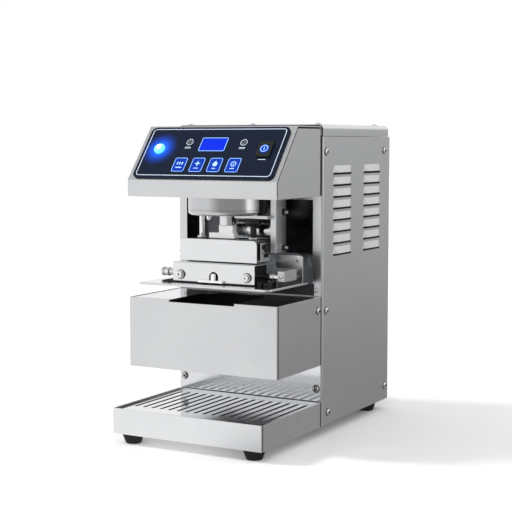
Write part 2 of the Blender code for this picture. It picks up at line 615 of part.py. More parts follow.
def right_arm():
    rail_low = TABLE_TOP + GAP
    rail_high = (0.0950, ahead(43.0), level(199.0))
    block("arm_rail", (0.0880, ahead(81.0), rail_low), rail_high, "black_steel", edge=0.0003)
    arm_low, arm_high = (0.0865, ahead(79.0), level(199.3)), (0.0965, ahead(45.5), level(213.0))
    arm = block("arm_block", arm_low, arm_high, "aluminium",
                edge=0.0004)
    cut(arm, turned("arm_bore", [(0, -0.004), (SHAFT_R + GAP, -0.004), (SHAFT_R + GAP, 0.0075), (0, 0.0075)],
                    "aluminium", (0.0865, SHAFT_Y, SHAFT_Z), "x", COARSE))
    knee, top = level(212.0), level(229.3)
    outline = rounded([(0.0850, rail_low), (0.0970, rail_low), (0.0970, top), (0.0585, top), (0.0585, knee),
                       (0.0850, knee)], [0, 0, 0.003, 0, 0, 0])
    plate("stay_bracket", outline, "y", ahead(31.0), ahead(28.5), "stainless",
          [circle((0.0920, level(202.0)), 0.0022, COARSE)])


# ---------------------------------------------------------------- cup box, tray and feet
def cup_box():
    front, back = FRONT_Y - BOX_REACH, FRONT_Y - GAP
    shell = block("cup_box", (-BODY_X, front, BOX_BOTTOM), (BODY_X, back, BOX_TOP), "stainless")
    cut(shell, block("cup_box_inside", (SHEET - BODY_X, front + SHEET, BOX_BOTTOM - 0.01),
                     (BODY_X - SHEET, back + 0.01, BOX_TOP - SHEET), "stainless"))
    radius = CUP_SLOT_W / 2
    slot = [(radius, front - 0.01), *arc((0, PRESS_Y), radius, 0, 180, 24), (-radius, front - 0.01)]
    cut(shell, plate("cup_slot", slot, "z", BOX_TOP - 0.003, BOX_TOP + 0.01, "stainless"))


GRILLE_SLOTS, GRILLE_PITCH, GRILLE_SLOT_W = 16, 0.01295, 0.0048


def drip_tray():
    front, back = ahead(162.3), FRONT_Y - GAP
    bottom = level(0)
    ledge_z = level(28.5)
    tray = block("tray_body", (-BODY_X, front, bottom), (BODY_X, back, TRAY_TOP), "stainless")
    ledge = 0.004
    mouth_low = (SHEET - BODY_X, front + SHEET, ledge_z)
    cut(tray, block("tray_mouth", mouth_low, (BODY_X - SHEET, back - SHEET, TRAY_TOP + 0.01),
                    "stainless"))
    cut(tray, block("tray_basin", (ledge - BODY_X, front + ledge, bottom + SHEET),
                    (BODY_X - ledge, back - ledge, ledge_z + 0.001), "stainless"))
    inset = SHEET + 0.0006
    slots = []
    for i in range(GRILLE_SLOTS):
        x = (i - (GRILLE_SLOTS - 1) / 2) * GRILLE_PITCH
        half = GRILLE_SLOT_W / 2
        slots.append(rounded(rectangle((x - half, ahead(130.0)), (x + half, ahead(16.0))),
                             GRILLE_SLOT_W / 2 - 0.0001, 2))
    outline = rounded(rectangle((inset - BODY_X, front + inset), (BODY_X - inset, back - inset)), 0.004)
    plate("drip_grille", outline, "z", ledge_z + GAP, ledge_z + GAP + 0.002, "polished_steel", slots)


def feet():
    foot_x, front_y, rear_y = 0.090, ahead(145.0), FRONT_Y + 0.188
    places = (("foot_front_left", -foot_x, front_y, level(0)), ("foot_front_right", foot_x, front_y, level(0)),
              ("foot_rear_left", -foot_x, rear_y, BASE_Z), ("foot_rear_right", foot_x, rear_y, BASE_Z))
    for name, x, y, top in places:
        height = top - GAP
        profile = [(0, 0), (0.0096, 0), (0.0104, 0.0008), (0.0140, height - 0.0012), (0.0142, height - 0.0004),
                   (0.0139, height), (0, height)]
        turned(name, profile, "black_rubber", (x, y, 0), steps=24)


# ---------------------------------------------------------------- inside the column
def fan():
    half = FAN_SIZE / 2
    back = BACK_Y - SHEET - GAP
    outline = rounded(centred((FAN_X, FAN_Z), (FAN_SIZE, FAN_SIZE)), 0.004, 2)
    mouth = circle((FAN_X, FAN_Z), half - 0.002, ROUND)
    plate("fan_frame", outline, "y", back - FAN_DEPTH, back, "black_plastic", [mouth])
    centre = (FAN_X, back - FAN_DEPTH / 2, FAN_Z)
    hub_r, tip_r, hub_h = 0.018, 0.0365, 0.009
    hub = [(0, -hub_h), (hub_r - 0.001, -hub_h), (hub_r, 0.001 - hub_h), (hub_r, hub_h), (0, hub_h)]
    rotor = turned("fan_rotor", hub,
                   "black_plastic", centre, "y", 28)
    for number in range(7):
        bm = bmesh.new()
        reach = (hub_r - 0.003, tip_r)
        box_bmesh(bm, (reach[0], -0.0008, -0.0070), (reach[1], 0.0008, 0.0070))
        bmesh.ops.rotate(bm, verts=bm.verts, cent=(0, 0, 0), matrix=Matrix.Rotation(math.radians(42), 3, "X"))
        turn = Matrix.Rotation(math.tau * number / 7, 3, "Z")
        bmesh.ops.rotate(bm, verts=bm.verts, cent=(0, 0, 0), matrix=turn)
        bmesh.ops.rotate(bm, verts=bm.verts, cent=(0, 0, 0), matrix=Matrix.Rotation(-math.pi / 2, 3, "X"))
        bmesh.ops.translate(bm, verts=bm.verts, vec=centre)
        join(rotor, add_object("fan_blade_%d" % number, bm, "black_plastic", centre))


def electrics():
    """Mains inlet in the back panel and the power supply on the base plate."""
    body = (0.0278, 0.0204)
    outline = centred((INLET_X, INLET_Z), body)
    inlet = plate("power_inlet", outline, "y", BACK_Y - 0.022, BACK_Y + GAP, "black_plastic")
    flange = rounded(centred((INLET_X, INLET_Z), (0.048, 0.028)), 0.003, 3)
    join(inlet, plate("inlet_flange", flange, "y", BACK_Y + GAP, BACK_Y + INLET_PROUD, "black_plastic"))
    socket = rounded(centred((INLET_X, INLET_Z), (0.0240, 0.0165)), [0, 0, 0.005, 0.005], 1)
    cut(inlet, plate("inlet_socket", socket, "y", BACK_Y - 0.014, BACK_Y + 0.01, "black_plastic"))
    pin_places = ((-0.007, -0.002), (0, 0.002), (0.007, -0.002))
    pins = [centred((INLET_X + x, INLET_Z + z), (0.002, 0.004)) for x, z in pin_places]
    place = Matrix([*zip(*AXES["y"])]).to_4x4()
    join(inlet, many_plates("inlet_pins", pins, place, BACK_Y - 0.016, BACK_Y - 0.002, "black_plastic"))
    floor = BASE_Z + SHEET + GAP
    block("power_supply", (-0.070, FRONT_Y + 0.105, floor), (0.030, FRONT_Y + 0.165, floor + 0.036), "aluminium",
          edge=0.0008)


def film_supply():
    """Roll of sealing film on a spindle held between the side panels."""
    flange, shaft = 0.010, 0.005
    half = SIDE_X - SHEET - GAP
    step = half - 0.003
    spindle = [(0, -half), (flange, -half), (flange, -step), (shaft, -step), (shaft, step), (flange, step),
               (flange, half), (0, half)]
    turned("film_spindle", spindle, "stainless", (0, FILM_Y, FILM_Z), "x", COARSE)
    width, core_w = 0.050, 0.054
    roll = [(shaft + GAP, -core_w), (0.016, -core_w), (0.016, -width), (FILM_R, -width), (FILM_R, width),
            (0.016, width),
            (0.016, core_w), (shaft + GAP, core_w)]
    turned("film_roll", roll, "film", (0, FILM_Y, FILM_Z), "x", FINE)


def main():
    clear_scene()
    column()
    hood()
    control_panel()
    press_drive()
    press_head()
    hanger()
    table()
    lower_jaw()
    cup_box()
    drip_tray()
    feet()
    fan()
    electrics()
    film_supply()


main()
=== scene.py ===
"""Looks of the counter-top cup sealing machine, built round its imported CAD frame. Metres, +Z up."""
import json
import math

import bmesh
import bpy
from mathutils import Matrix, Vector

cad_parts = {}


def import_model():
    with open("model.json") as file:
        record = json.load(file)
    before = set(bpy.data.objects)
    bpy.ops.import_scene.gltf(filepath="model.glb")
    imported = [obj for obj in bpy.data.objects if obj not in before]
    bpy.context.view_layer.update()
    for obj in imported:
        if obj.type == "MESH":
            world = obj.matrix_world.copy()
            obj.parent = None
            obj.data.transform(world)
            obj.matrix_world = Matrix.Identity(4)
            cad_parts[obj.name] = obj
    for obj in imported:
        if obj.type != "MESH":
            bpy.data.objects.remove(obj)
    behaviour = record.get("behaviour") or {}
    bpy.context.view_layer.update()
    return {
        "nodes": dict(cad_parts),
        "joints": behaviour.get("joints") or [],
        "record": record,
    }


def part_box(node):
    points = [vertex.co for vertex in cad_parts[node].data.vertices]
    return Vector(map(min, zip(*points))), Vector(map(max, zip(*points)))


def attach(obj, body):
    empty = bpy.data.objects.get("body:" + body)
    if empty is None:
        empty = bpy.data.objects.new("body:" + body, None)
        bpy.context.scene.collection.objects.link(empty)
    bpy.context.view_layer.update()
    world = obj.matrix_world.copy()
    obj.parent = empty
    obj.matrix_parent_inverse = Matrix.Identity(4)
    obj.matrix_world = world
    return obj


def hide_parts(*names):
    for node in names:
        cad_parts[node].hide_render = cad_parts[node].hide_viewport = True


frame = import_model()

RECORD = frame["record"]
BODY = {node: body for body, nodes in RECORD["behaviour"]["bodies"].items() for node in nodes}
LOW = {node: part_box(node)[0] for node in frame["nodes"]}
HIGH = {node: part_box(node)[1] for node in frame["nodes"]}
MIDDLE = {node: (LOW[node] + HIGH[node]) / 2 for node in frame["nodes"]}

SHEET = 0.0015
SEAM = 0.0003
FRONT_Y = LOW["front_frame"].y
BACK_Y = HIGH["back_panel"].y
BODY_X = HIGH["cup_box"].x
SIDE_X = HIGH["top_cover"].x


# ---------------------------------------------------------------- materials
def add_node(tree, kind, inputs=None, **settings):
    made = tree.nodes.new("ShaderNode" + kind)
    for key, value in settings.items():
        setattr(made, key, value)
    for key, value in (inputs or {}).items():
        made.inputs[key].default_value = value
    return made


def link(tree, source, target):
    """Join a node's first output, or a given socket, to an input."""
    tree.links.new(source.outputs[0] if isinstance(source, bpy.types.Node) else source, target)


def ranged(tree, source, low, high, start=0.0, end=1.0):
    """A value read from start to end and given back from low to high."""
    made = add_node(tree, "MapRange", {1: start, 2: end, 3: low, 4: high})
    link(tree, source, made.inputs[0])
    return made.outputs[0]


def shaded(colour, factor):
    return tuple(min(1.0, channel * factor) for channel in colour[:3]) + (1.0,)


def blend_colour(tree, amount, first, second, mode="MIX"):
    """Mix two colours, each a socket or a fixed colour."""
    mix = add_node(tree, "Mix", data_type="RGBA", blend_type=mode)
    for socket, value in ((mix.inputs[0], amount), (mix.inputs[6], first), (mix.inputs[7], second)):
        if isinstance(value, bpy.types.NodeSocket):
            link(tree, value, socket)
        else:
            socket.default_value = value
    return mix.outputs[2]


def surface(name, colour, metallic, roughness, grain=(1, 1, 1), fineness=900.0, tint=0.06,
        spread=0.06, relief=0.05, smudge=0.05, worn=None, coat=0.0, specular=0.5, glow=None,
        glow_power=0.0):
    """Procedural finish: fine grain along a direction, cloudy smudges and lighter worn edges."""
    material = bpy.data.materials.new(name)
    material.use_nodes = True
    tree = material.node_tree
    shader = tree.nodes["Principled BSDF"]
    shader.inputs["Metallic"].default_value = metallic
    shader.inputs["Coat Weight"].default_value = coat
    shader.inputs["Coat Roughness"].default_value = 0.08
    shader.inputs["Specular IOR Level"].default_value = specular

    place = add_node(tree, "TexCoord").outputs["Object"]
    stretch = add_node(tree, "Mapping", {"Scale": [fineness * g for g in grain]})
    link(tree, place, stretch.inputs["Vector"])
    fine = add_node(tree, "TexNoise", {"Scale": 1.0, "Detail": 3.0, "Roughness": 0.6})
    link(tree, stretch, fine.inputs["Vector"])
    cloud = add_node(tree, "TexNoise", {"Scale": 14.0, "Detail": 4.0, "Roughness": 0.55})
    link(tree, place, cloud.inputs["Vector"])

    base = blend_colour(tree, fine.outputs[0], shaded(colour, 1 - tint), shaded(colour, 1 + tint))
    base = blend_colour(tree, ranged(tree, cloud.outputs[0], 0.0, smudge, 0.35, 0.7), base,
        shaded(colour, 0.55))
    if worn:
        base = blend_colour(tree, edge_mask(tree), base, shaded(worn, 1))
    link(tree, base, shader.inputs["Base Color"])

    rough_fine = ranged(tree, fine.outputs[0], roughness - spread, roughness + spread, 0.25, 0.75)
    rough_cloud = ranged(tree, cloud.outputs[0], -spread * 0.6, spread * 0.9, 0.3, 0.7)
    total = add_node(tree, "Math", operation="ADD", use_clamp=True)
    link(tree, rough_fine, total.inputs[0])
    link(tree, rough_cloud, total.inputs[1])
    link(tree, total, shader.inputs["Roughness"])

    bump = add_node(tree, "Bump", {"Strength": relief, "Distance": 0.0001})
    link(tree, fine, bump.inputs["Height"])
    link(tree, bump, shader.inputs["Normal"])
    if glow:
        shader.inputs["Emission Strength"].default_value = glow_power
        varied = blend_colour(tree, ranged(tree, cloud.outputs[0], 0.0, 0.35, 0.35, 0.7),
            shaded(glow, 1), shaded(glow, 0.7))
        link(tree, varied, shader.inputs["Emission Color"])
    return material


def edge_mask(tree, radius=0.0007):
    """High along sharp edges, where handling wears a finish."""
    soft = add_node(tree, "Bevel", {"Radius": radius}, samples=4)
    true = add_node(tree, "NewGeometry")
    dot = add_node(tree, "VectorMath", operation="DOT_PRODUCT")
    link(tree, soft, dot.inputs[0])
    link(tree, true.outputs["Normal"], dot.inputs[1])
    return ranged(tree, dot.outputs["Value"], 0.8, 0.0, 0.80, 0.99)


STEEL = (0.70, 0.71, 0.72)
ALONG_X, ALONG_Y, ALONG_Z = (0.02, 1, 1), (1, 0.02, 1), (1, 1, 0.02)
EVEN = (1, 1, 1)


def make_looks():
    return {
        "steel_x": surface("brushed_steel_across", STEEL, 1.0, 0.30, ALONG_X, 1600, relief=0.12,
            smudge=0.05),
        "steel_y": surface("brushed_steel_deep", STEEL, 1.0, 0.36, ALONG_Y, 1600, relief=0.12,
            smudge=0.05),
        "steel_side": surface("brushed_steel_side", STEEL, 1.0, 0.36, ALONG_Z, 1600, relief=0.12,
            smudge=0.05),
        # Brushed steel made lighter than the rest: painted light, for the brighter front of the low
        # tray.
        "tray_steel_painted_light": surface("tray_steel_painted_light", shaded(STEEL, 1.16), 1.0, 0.28, ALONG_X, 1600,
            relief=0.10),
        "satin": surface("satin_steel", (0.76, 0.77, 0.78), 1.0, 0.24, ALONG_X, 900, relief=0.05,
            smudge=0.08),
        # Steel darkened to paint the shade inside the recess behind the table.
        "recess_shade_steel": surface("recess_steel_painted_shade", (0.080, 0.082, 0.088), 1.0, 0.22, ALONG_Z,
            900, tint=0.2, relief=0.05, smudge=0.2),
        # Near-black finish for dark joints, and for painted shade: the unlit inside of the box and
        # column, and the bottoms of screw recesses.
        "black_inside": surface("black_for_dark_joints_and_painted_shade", (0.010, 0.010, 0.011), 0.0, 0.55, EVEN, 1500,
            tint=0.3, relief=0.15, smudge=0.3, specular=0.2),
        "steel_z": surface("brushed_steel_upright", STEEL, 1.0, 0.34, ALONG_Z, 1600, relief=0.12,
            smudge=0.05),
        "cover": surface("cover_steel", shaded(STEEL, 1.05), 1.0, 0.26, ALONG_Y, 900, tint=0.03,
            relief=0.01, spread=0.02),
        "polished": surface("polished_steel", (0.78, 0.79, 0.80), 1.0, 0.10, ALONG_X, 900,
            spread=0.03, relief=0.03, smudge=0.08),
        "drum": surface("turned_drum_steel", (0.58, 0.585, 0.595), 1.0, 0.13, (1, 1, 0.03), 1200,
            spread=0.04, relief=0.06, smudge=0.12),
        "mirror": surface("mirror_steel", (0.74, 0.75, 0.77), 1.0, 0.13, ALONG_X, 700, spread=0.04,
            relief=0.02, smudge=0.10),
        "turned": surface("turned_steel", (0.76, 0.77, 0.78), 1.0, 0.16, (1, 1, 0.6), 2200,
            spread=0.05, relief=0.10),
        "chrome": surface("bright_plating", (0.86, 0.87, 0.88), 1.0, 0.06, EVEN, 900, tint=0.02,
            spread=0.02, relief=0.02, smudge=0.06),
        "zinc": surface("screw_plating", (0.80, 0.80, 0.79), 1.0, 0.20, EVEN, 2500, spread=0.06,
            relief=0.1),
        "aluminium": surface("milled_aluminium", (0.62, 0.63, 0.64), 1.0, 0.34, (0.05, 1, 1), 1800,
            relief=0.2),
        "black_oxide": surface("black_oxide_steel", (0.030, 0.031, 0.034), 0.7, 0.34, EVEN, 1500,
            tint=0.25, relief=0.15, smudge=0.3, worn=(0.22, 0.22, 0.23)),
        "black_plastic": surface("moulded_black_plastic", (0.010, 0.010, 0.011), 0.0, 0.42, EVEN,
            2600, tint=0.3, relief=0.25, smudge=0.2, worn=(0.03, 0.03, 0.032), specular=0.3),
        "rubber": surface("moulded_rubber", (0.014, 0.014, 0.015), 0.0, 0.68, EVEN, 1400,
            tint=0.35, spread=0.1, relief=0.4, smudge=0.4, worn=(0.04, 0.04, 0.04), specular=0.2),
        "white_plastic": surface("white_engineering_plastic", (0.92, 0.925, 0.93), 0.0, 0.38, EVEN,
            1800, tint=0.03, relief=0.08, smudge=0.05),
        "laminate": surface("panel_laminate", (0.003, 0.008, 0.025), 0.0, 0.26, EVEN, 2600,
            tint=0.2, spread=0.05, relief=0.05, smudge=0.2, specular=0.16),
        # Printed lines with a faint emission: a painted glow that makes the print read light.
        "print": surface("printed_line_painted_glow", (0.62, 0.70, 0.78), 0.0, 0.45, EVEN, 2600, relief=0.02,
            glow=(0.45, 0.60, 0.75), glow_power=0.18),
        "key_blue": surface("lit_key", (0.0, 0.02, 0.16), 0.0, 0.3, EVEN, 2600, relief=0.03,
            specular=0.15, glow=(0.0, 0.060, 1.0), glow_power=0.30),
        "screen": surface("lit_display", (0.0, 0.01, 0.12), 0.0, 0.3, EVEN, 2600, relief=0.02,
            specular=0.12, glow=(0.0, 0.020, 0.95), glow_power=0.80),
        "icon": surface("lit_symbol", (0.35, 0.50, 0.9), 0.0, 0.4, EVEN, 2600, relief=0.02,
            glow=(0.22, 0.48, 1.0), glow_power=0.55),
        "edge_light": surface("lit_outline", (0.25, 0.45, 1.0), 0.0, 0.4, EVEN, 2600, relief=0.02,
            glow=(0.18, 0.42, 1.0), glow_power=0.75),
        "lamp": surface("lamp_dome", (0.15, 0.45, 1.0), 0.0, 0.16, EVEN, 1500, relief=0.04,
            coat=0.8, glow=(0.03, 0.24, 1.0), glow_power=2.6),
        "lamp_core": surface("lamp_core", (0.8, 0.95, 1.0), 0.0, 0.2, EVEN, 1500, relief=0.02,
            glow=(0.80, 0.96, 1.0), glow_power=5.0),
        "lens": surface("smoked_lens", (0.05, 0.06, 0.08), 0.0, 0.16, EVEN, 1500, relief=0.03,
            coat=0.6),
        "film": surface("film_roll", (0.74, 0.78, 0.83), 0.0, 0.24, (20, 1, 1), 400, tint=0.08,
            spread=0.08, relief=0.3, coat=0.4),
        "board": surface("circuit_board", (0.02, 0.16, 0.07), 0.0, 0.45, EVEN, 1600, tint=0.2,
            relief=0.2),
    }


LOOK = make_looks()


# ---------------------------------------------------------------- mesh helpers
def placed(name, data):
    thing = bpy.data.objects.new(name, data)
    bpy.context.scene.collection.objects.link(thing)
    return thing


def mesh_of(name, bm):
    mesh = bpy.data.meshes.new(name)
    bm.to_mesh(mesh)
    bm.free()
    return mesh


SIDES = ((-1, "left"), (1, "right"))


def slab(side, near, far):
    """Lower and upper x between two distances from the middle, on one side."""
    return sorted((side * near, side * far))


def tube(inner, outer, low, high):
    """Profile of a turned ring, or of a plain rod when its inner radius is nought."""
    return [(inner, low), (outer, low), (outer, high), (inner, high)]


def dome(radius, base, height, step):
    """Profile of a dome's side, from its rim almost to its top."""
    turns = [math.radians(a) for a in range(0, 90, step)]
    return [(radius * math.cos(turn), base + height * math.sin(turn)) for turn in turns]


def piece(name, bm, look, like, hides=(), bevel=0.0, segments=2, smooth=True, angle=35):
    """A finished piece that rides with its CAD node and hides the nodes it stands for."""
    bmesh.ops.recalc_face_normals(bm, faces=bm.faces)
    return dress_mesh(name, mesh_of(name, bm), look, like, hides, bevel, segments, smooth, angle)


def dress_mesh(name, mesh, look, like, hides=(), bevel=0.0, segments=2, smooth=True, angle=35):
    mesh.materials.clear()
    mesh.materials.append(LOOK[look])
    thing = placed(name, mesh)
    if smooth:
        mesh.shade_smooth()
        if not bevel:
            mesh.set_sharp_from_angle(angle=math.radians(angle))
    if bevel:
        add_bevel(thing, bevel, segments, angle)
    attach(thing, BODY[like])
    if hides:
        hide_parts(*hides)
    return thing


def add_bevel(thing, width, segments=2, angle=35):
    modifier = thing.modifiers.new("worn_edges", "BEVEL")
    modifier.width = width
    modifier.segments = segments
    modifier.limit_method = "ANGLE"
    modifier.angle_limit = math.radians(angle)
    modifier.harden_normals = True


def dress(node, look, bevel=0.0003, segments=2):
    """Keep a CAD node's shape: join its split corners, soften its edges and give it a finish."""
    thing = frame["nodes"][node]
    thing.data.materials.clear()
    thing.data.materials.append(LOOK[look])
    weld = thing.modifiers.new("joined_corners", "WELD")
    weld.merge_threshold = 1e-5
    thing.data.shade_smooth()
    add_bevel(thing, bevel, segments, 30)
    flat = thing.modifiers.new("flat_faces", "WEIGHTED_NORMAL")
    flat.weight = 100
    flat.keep_sharp = True


def arc(centre, radius, start_deg, end_deg, steps):
    points = []
    for i in range(steps + 1):
        angle = math.radians(start_deg + (end_deg - start_deg) * i / steps)
        points.append((centre[0] + radius * math.cos(angle), centre[1] + radius * math.sin(angle)))
    return points


def circle(centre, radius, steps=48):
    return arc(centre, radius, 0, 360, steps)[:-1]


def rectangle(low, high):
    return [(low[0], low[1]), (high[0], low[1]), (high[0], high[1]), (low[0], high[1])]


def centred(at, size, grow=0.0):
    half = (size[0] / 2 + grow, size[1] / 2 + grow)
    return rectangle((at[0] - half[0], at[1] - half[1]), (at[0] + half[0], at[1] + half[1]))


def rounded(points, radius, steps=6, closed=True):
    """Round the corners of an outline; radius is one number, or one for each corner."""
    radii = radius if isinstance(radius, (list, tuple)) else [radius] * len(points)
    result = []
    for i, corner in enumerate(points):
        ends = not closed and i in (0, len(points) - 1)
        if radii[i] <= 0 or ends:
            result.append(tuple(corner))
            continue
        here = Vector(corner)
        back = (Vector(points[i - 1]) - here).normalized()
        forth = (Vector(points[(i + 1) % len(points)]) - here).normalized()
        half = back.angle(forth) / 2
        centre = here + (back + forth).normalized() * radii[i] / math.sin(half)
        first = here + back * radii[i] / math.tan(half) - centre
        last = here + forth * radii[i] / math.tan(half) - centre
        for k in range(steps + 1):
            result.append(tuple(centre + first.lerp(last, k / steps).normalized() * radii[i]))
    return result


def offset_path(points, distance):
    """A polyline moved sideways, to its left, by a distance."""
    moved = []
    for i, here in enumerate(points):
        here = Vector(here)
        before = (here - Vector(points[i - 1])).normalized() if i else None
        after = (Vector(points[i + 1]) - here).normalized() if i < len(points) - 1 else None
        before = before or after
        after = after or before
        first = Vector((-before.y, before.x))
        second = Vector((-after.y, after.x))
        middle = (first + second).normalized()
        moved.append(tuple(here + middle * distance / middle.dot(first)))
    return moved


def frame_of(axis):
    """Placement whose third direction is a world axis, and whose first two are the others."""
    if isinstance(axis, Matrix):
        return axis
    columns = {"x": ((0, 1, 0), (0, 0, 1), (1, 0, 0)), "y": ((1, 0, 0), (0, 0, 1), (0, 1, 0)),
        "z": ((1, 0, 0), (0, 1, 0), (0, 0, 1))}[axis]
    return Matrix([*zip(*columns)]).to_4x4()


def add_plate(bm, outline, axis, low, high, holes=()):
    """Extrude an outline with holes between two places along an axis."""
    place = frame_of(axis)
    edges = []
    for loop in [outline, *holes]:
        verts = [bm.verts.new(place @ Vector((u, v, low))) for u, v in loop]
        for i, vert in enumerate(verts):
            edges.append(bm.edges.new((vert, verts[(i + 1) % len(verts)])))
    normal = place.to_3x3() @ Vector((0, 0, 1))
    if holes:
        filled = bmesh.ops.triangle_fill(bm, edges=edges, use_beauty=True, use_dissolve=False,
            normal=normal)
        faces = [item for item in filled["geom"] if isinstance(item, bmesh.types.BMFace)]
    else:
        faces = [bm.faces.new([edge.verts[0] for edge in edges])]
    grown = bmesh.ops.extrude_face_region(bm, geom=faces, use_keep_orig=True)
    moved = [item for item in grown["geom"] if isinstance(item, bmesh.types.BMVert)]
    bmesh.ops.translate(bm, verts=moved, vec=normal * (high - low))


def plate(name, outline, axis, low, high, look, like, holes=(), hides=(), bevel=0.0003, segments=2):
    bm = bmesh.new()
    add_plate(bm, outline, axis, low, high, holes)
    return piece(name, bm, look, like, hides, bevel, segments)


def add_block(bm, low, high):
    size = Vector(high) - Vector(low)
    middle = (Vector(high) + Vector(low)) / 2
    bmesh.ops.create_cube(bm, size=1.0, matrix=Matrix.Translation(middle) @ Matrix.Diagonal((*size,
        1)))


def block(name, low, high, look, like, hides=(), bevel=0.0004, segments=3):
    bm = bmesh.new()
    add_block(bm, low, high)
    return piece(name, bm, look, like, hides, bevel, segments)


def add_turned(bm, profile, centre, axis="z", steps=72):
    """Turn a closed (radius, height) profile round an axis through centre."""
    turn = {"z": Matrix.Identity(3), "x": Matrix.Rotation(math.pi / 2, 3, "Y"),
        "y": Matrix.Rotation(-math.pi / 2, 3, "X"), "-y": Matrix.Rotation(math.pi / 2, 3, "X")}
    to_world = axis.to_3x3() if isinstance(axis, Matrix) else turn[axis]
    rings = []
    for radius, height in profile:
        if radius < 1e-9:
            rings.append([bm.verts.new(Vector(centre) + to_world @ Vector((0, 0, height)))] * steps)
            continue
        rings.append([bm.verts.new(Vector(centre) + to_world @ Vector((x, y, height))) for x,
            y in circle((0, 0), radius, steps)])
    for i, ring in enumerate(rings):
        following = rings[(i + 1) % len(rings)]
        if ring[0] is ring[1] and following[0] is following[1]:
            continue
        for k in range(steps):
            corners = [ring[k], ring[(k + 1) % steps], following[(k + 1) % steps], following[k]]
            bm.faces.new(list(dict.fromkeys(corners)))


def softened(profile, radius, steps=3):
    """Round a turned profile's corners, but not those on its axis."""
    return rounded(profile, [radius if r > 1e-9 else 0 for r, _ in profile], steps)


def turned(name, profile, centre, look, like, axis="z", hides=(), steps=72, round_r=0.0003):
    bm = bmesh.new()
    add_turned(bm, softened(profile, round_r) if round_r else profile, centre, axis, steps)
    return piece(name, bm, look, like, hides)


def settle(thing, angle=None):
    """Turn a piece's modifiers into plain mesh, then mark its sharp edges."""
    bpy.context.view_layer.update()
    finished = thing.evaluated_get(bpy.context.evaluated_depsgraph_get())
    result = bpy.data.meshes.new_from_object(finished)
    thing.modifiers.clear()
    thing.data = result
    if angle:
        result.shade_smooth()
        result.set_sharp_from_angle(angle=math.radians(angle))


def carve(thing, tool_bm):
    """Cut a throw-away tool out of a piece."""
    bmesh.ops.recalc_face_normals(tool_bm, faces=tool_bm.faces)
    tool = placed("tool", mesh_of("tool", tool_bm))
    modifier = thing.modifiers.new("carve", "BOOLEAN")
    modifier.operation = "DIFFERENCE"
    modifier.object = tool
    modifier.solver = "EXACT"
    settle(thing)
    bpy.data.objects.remove(tool)


# ---------------------------------------------------------------- fasteners
def screw_mesh(name, head, depth, cross=True):
    """Head standing on its local origin, with a cross or a hexagon recess."""
    bm = bmesh.new()
    add_turned(bm, head, (0, 0, 0), "z", 40)
    bmesh.ops.recalc_face_normals(bm, faces=bm.faces)
    thing = placed(name, mesh_of(name, bm))
    radius, top = max(r for r, _ in head), max(h for _, h in head)
    if cross:
        arm, width = radius * 0.62, radius * 0.20
        quarter = [(arm, -width), (arm, width), (width, width)]
        outline = []
        for _ in range(4):
            outline += quarter
            quarter = [(-v, u) for u, v in quarter]
    else:
        outline = circle((0, 0), radius * 0.52, 6)
    tool = bmesh.new()
    add_plate(tool, outline, "z", top - depth, top + 0.001)
    carve(thing, tool)
    mesh = thing.data
    bpy.data.objects.remove(thing)
    mesh.shade_smooth()
    mesh.set_sharp_from_angle(angle=math.radians(35))
    return mesh


def pan_head(radius, height):
    return [(0, 0), (radius, 0), *dome(radius, 0.35 * height, 0.65 * height, 12), (0, height)]


def cap_head(radius, height):
    chamfer = radius * 0.12
    return [(0, 0), (radius, 0), (radius, height - chamfer), (radius - chamfer, height),
        (0, height)]


SCREWS = {"pan": screw_mesh("pan_screw", pan_head(0.0043, 0.0028), 0.0021),
    "low_pan": screw_mesh("low_pan_screw", pan_head(0.0041, 0.0021), 0.0014),
    "small_pan": screw_mesh("small_pan_screw", pan_head(0.0029, 0.0017), 0.0012),
    "cap": screw_mesh("cap_screw", cap_head(0.0041, 0.0036), 0.0022, cross=False),
    "black_cap": screw_mesh("black_cap_screw", cap_head(0.0034, 0.0030), 0.0016, cross=False),}
HEADINGS = {"+x": Matrix.Rotation(math.pi / 2, 4, "Y"),
    "-x": Matrix.Rotation(-math.pi / 2, 4, "Y"), "-y": Matrix.Rotation(math.pi / 2, 4, "X"),
    "+y": Matrix.Rotation(-math.pi / 2, 4, "X"), "+z": Matrix.Identity(4),
    "-z": Matrix.Rotation(math.pi, 4, "X")}


def screw(name, kind, at, heading, like, look="zinc", turn_deg=20.0, hides=(), size=1.0):
    """One screw of a kind, standing on a point of a surface and facing a direction."""
    mesh = SCREWS[kind].copy()
    matrix = Matrix.Translation(at) @ HEADINGS[heading] @ Matrix.Rotation(math.radians(turn_deg),
        4, "Z")
    mesh.transform(matrix @ Matrix.Scale(size, 4))
    dress_mesh(name, mesh, look, like, hides, smooth=False)
    # Pan heads also get painted shade: a black ring round them and a black disc in their recess.
    if kind in ("pan", "low_pan"):
        screw_shade_ring(name + "_painted_shade", at, heading, like)


def screw_shade_ring(name, at, heading, like):
    """Thin black ring round a screw head, painted shade where the head sits on its sheet, and a black
    disc painting shade in the bottom of its recess.
    """
    bm = bmesh.new()
    inner, outer, thick = 0.0030, 0.0052, 0.0003
    disc_r, disc_low, disc_high = 0.0026, 0.0006, 0.0009
    place = Matrix.Translation(at) @ HEADINGS[heading]
    add_plate(bm, circle((0, 0), outer, 36), place, 0, thick, [circle((0, 0), inner, 36)])
    add_plate(bm, circle((0, 0), disc_r, 24), place, disc_low, disc_high)
    piece(name, bm, "black_inside", like)


def washer(name, at, axis, like, inner=0.0020, outer=0.0050, thick=0.0008, look="zinc"):
    turned(name, tube(inner, outer, 0, thick), at, look, like, axis, steps=40, round_r=0.00015)


def hexagon(name, at, axis, across, height, like, look="zinc"):
    """Hexagon nut or bolt head with turned-off corners."""
    bm = bmesh.new()
    place = {"z": Matrix.Identity(4), "x": Matrix.Rotation(math.pi / 2, 4, "Y"),
        "-y": Matrix.Rotation(math.pi / 2, 4, "X")}[axis]
    add_plate(bm, circle((0, 0), across / math.sqrt(3), 6), Matrix.Translation(at) @ place, 0,
        height)
    piece(name, bm, look, like, bevel=0.0005, segments=3)


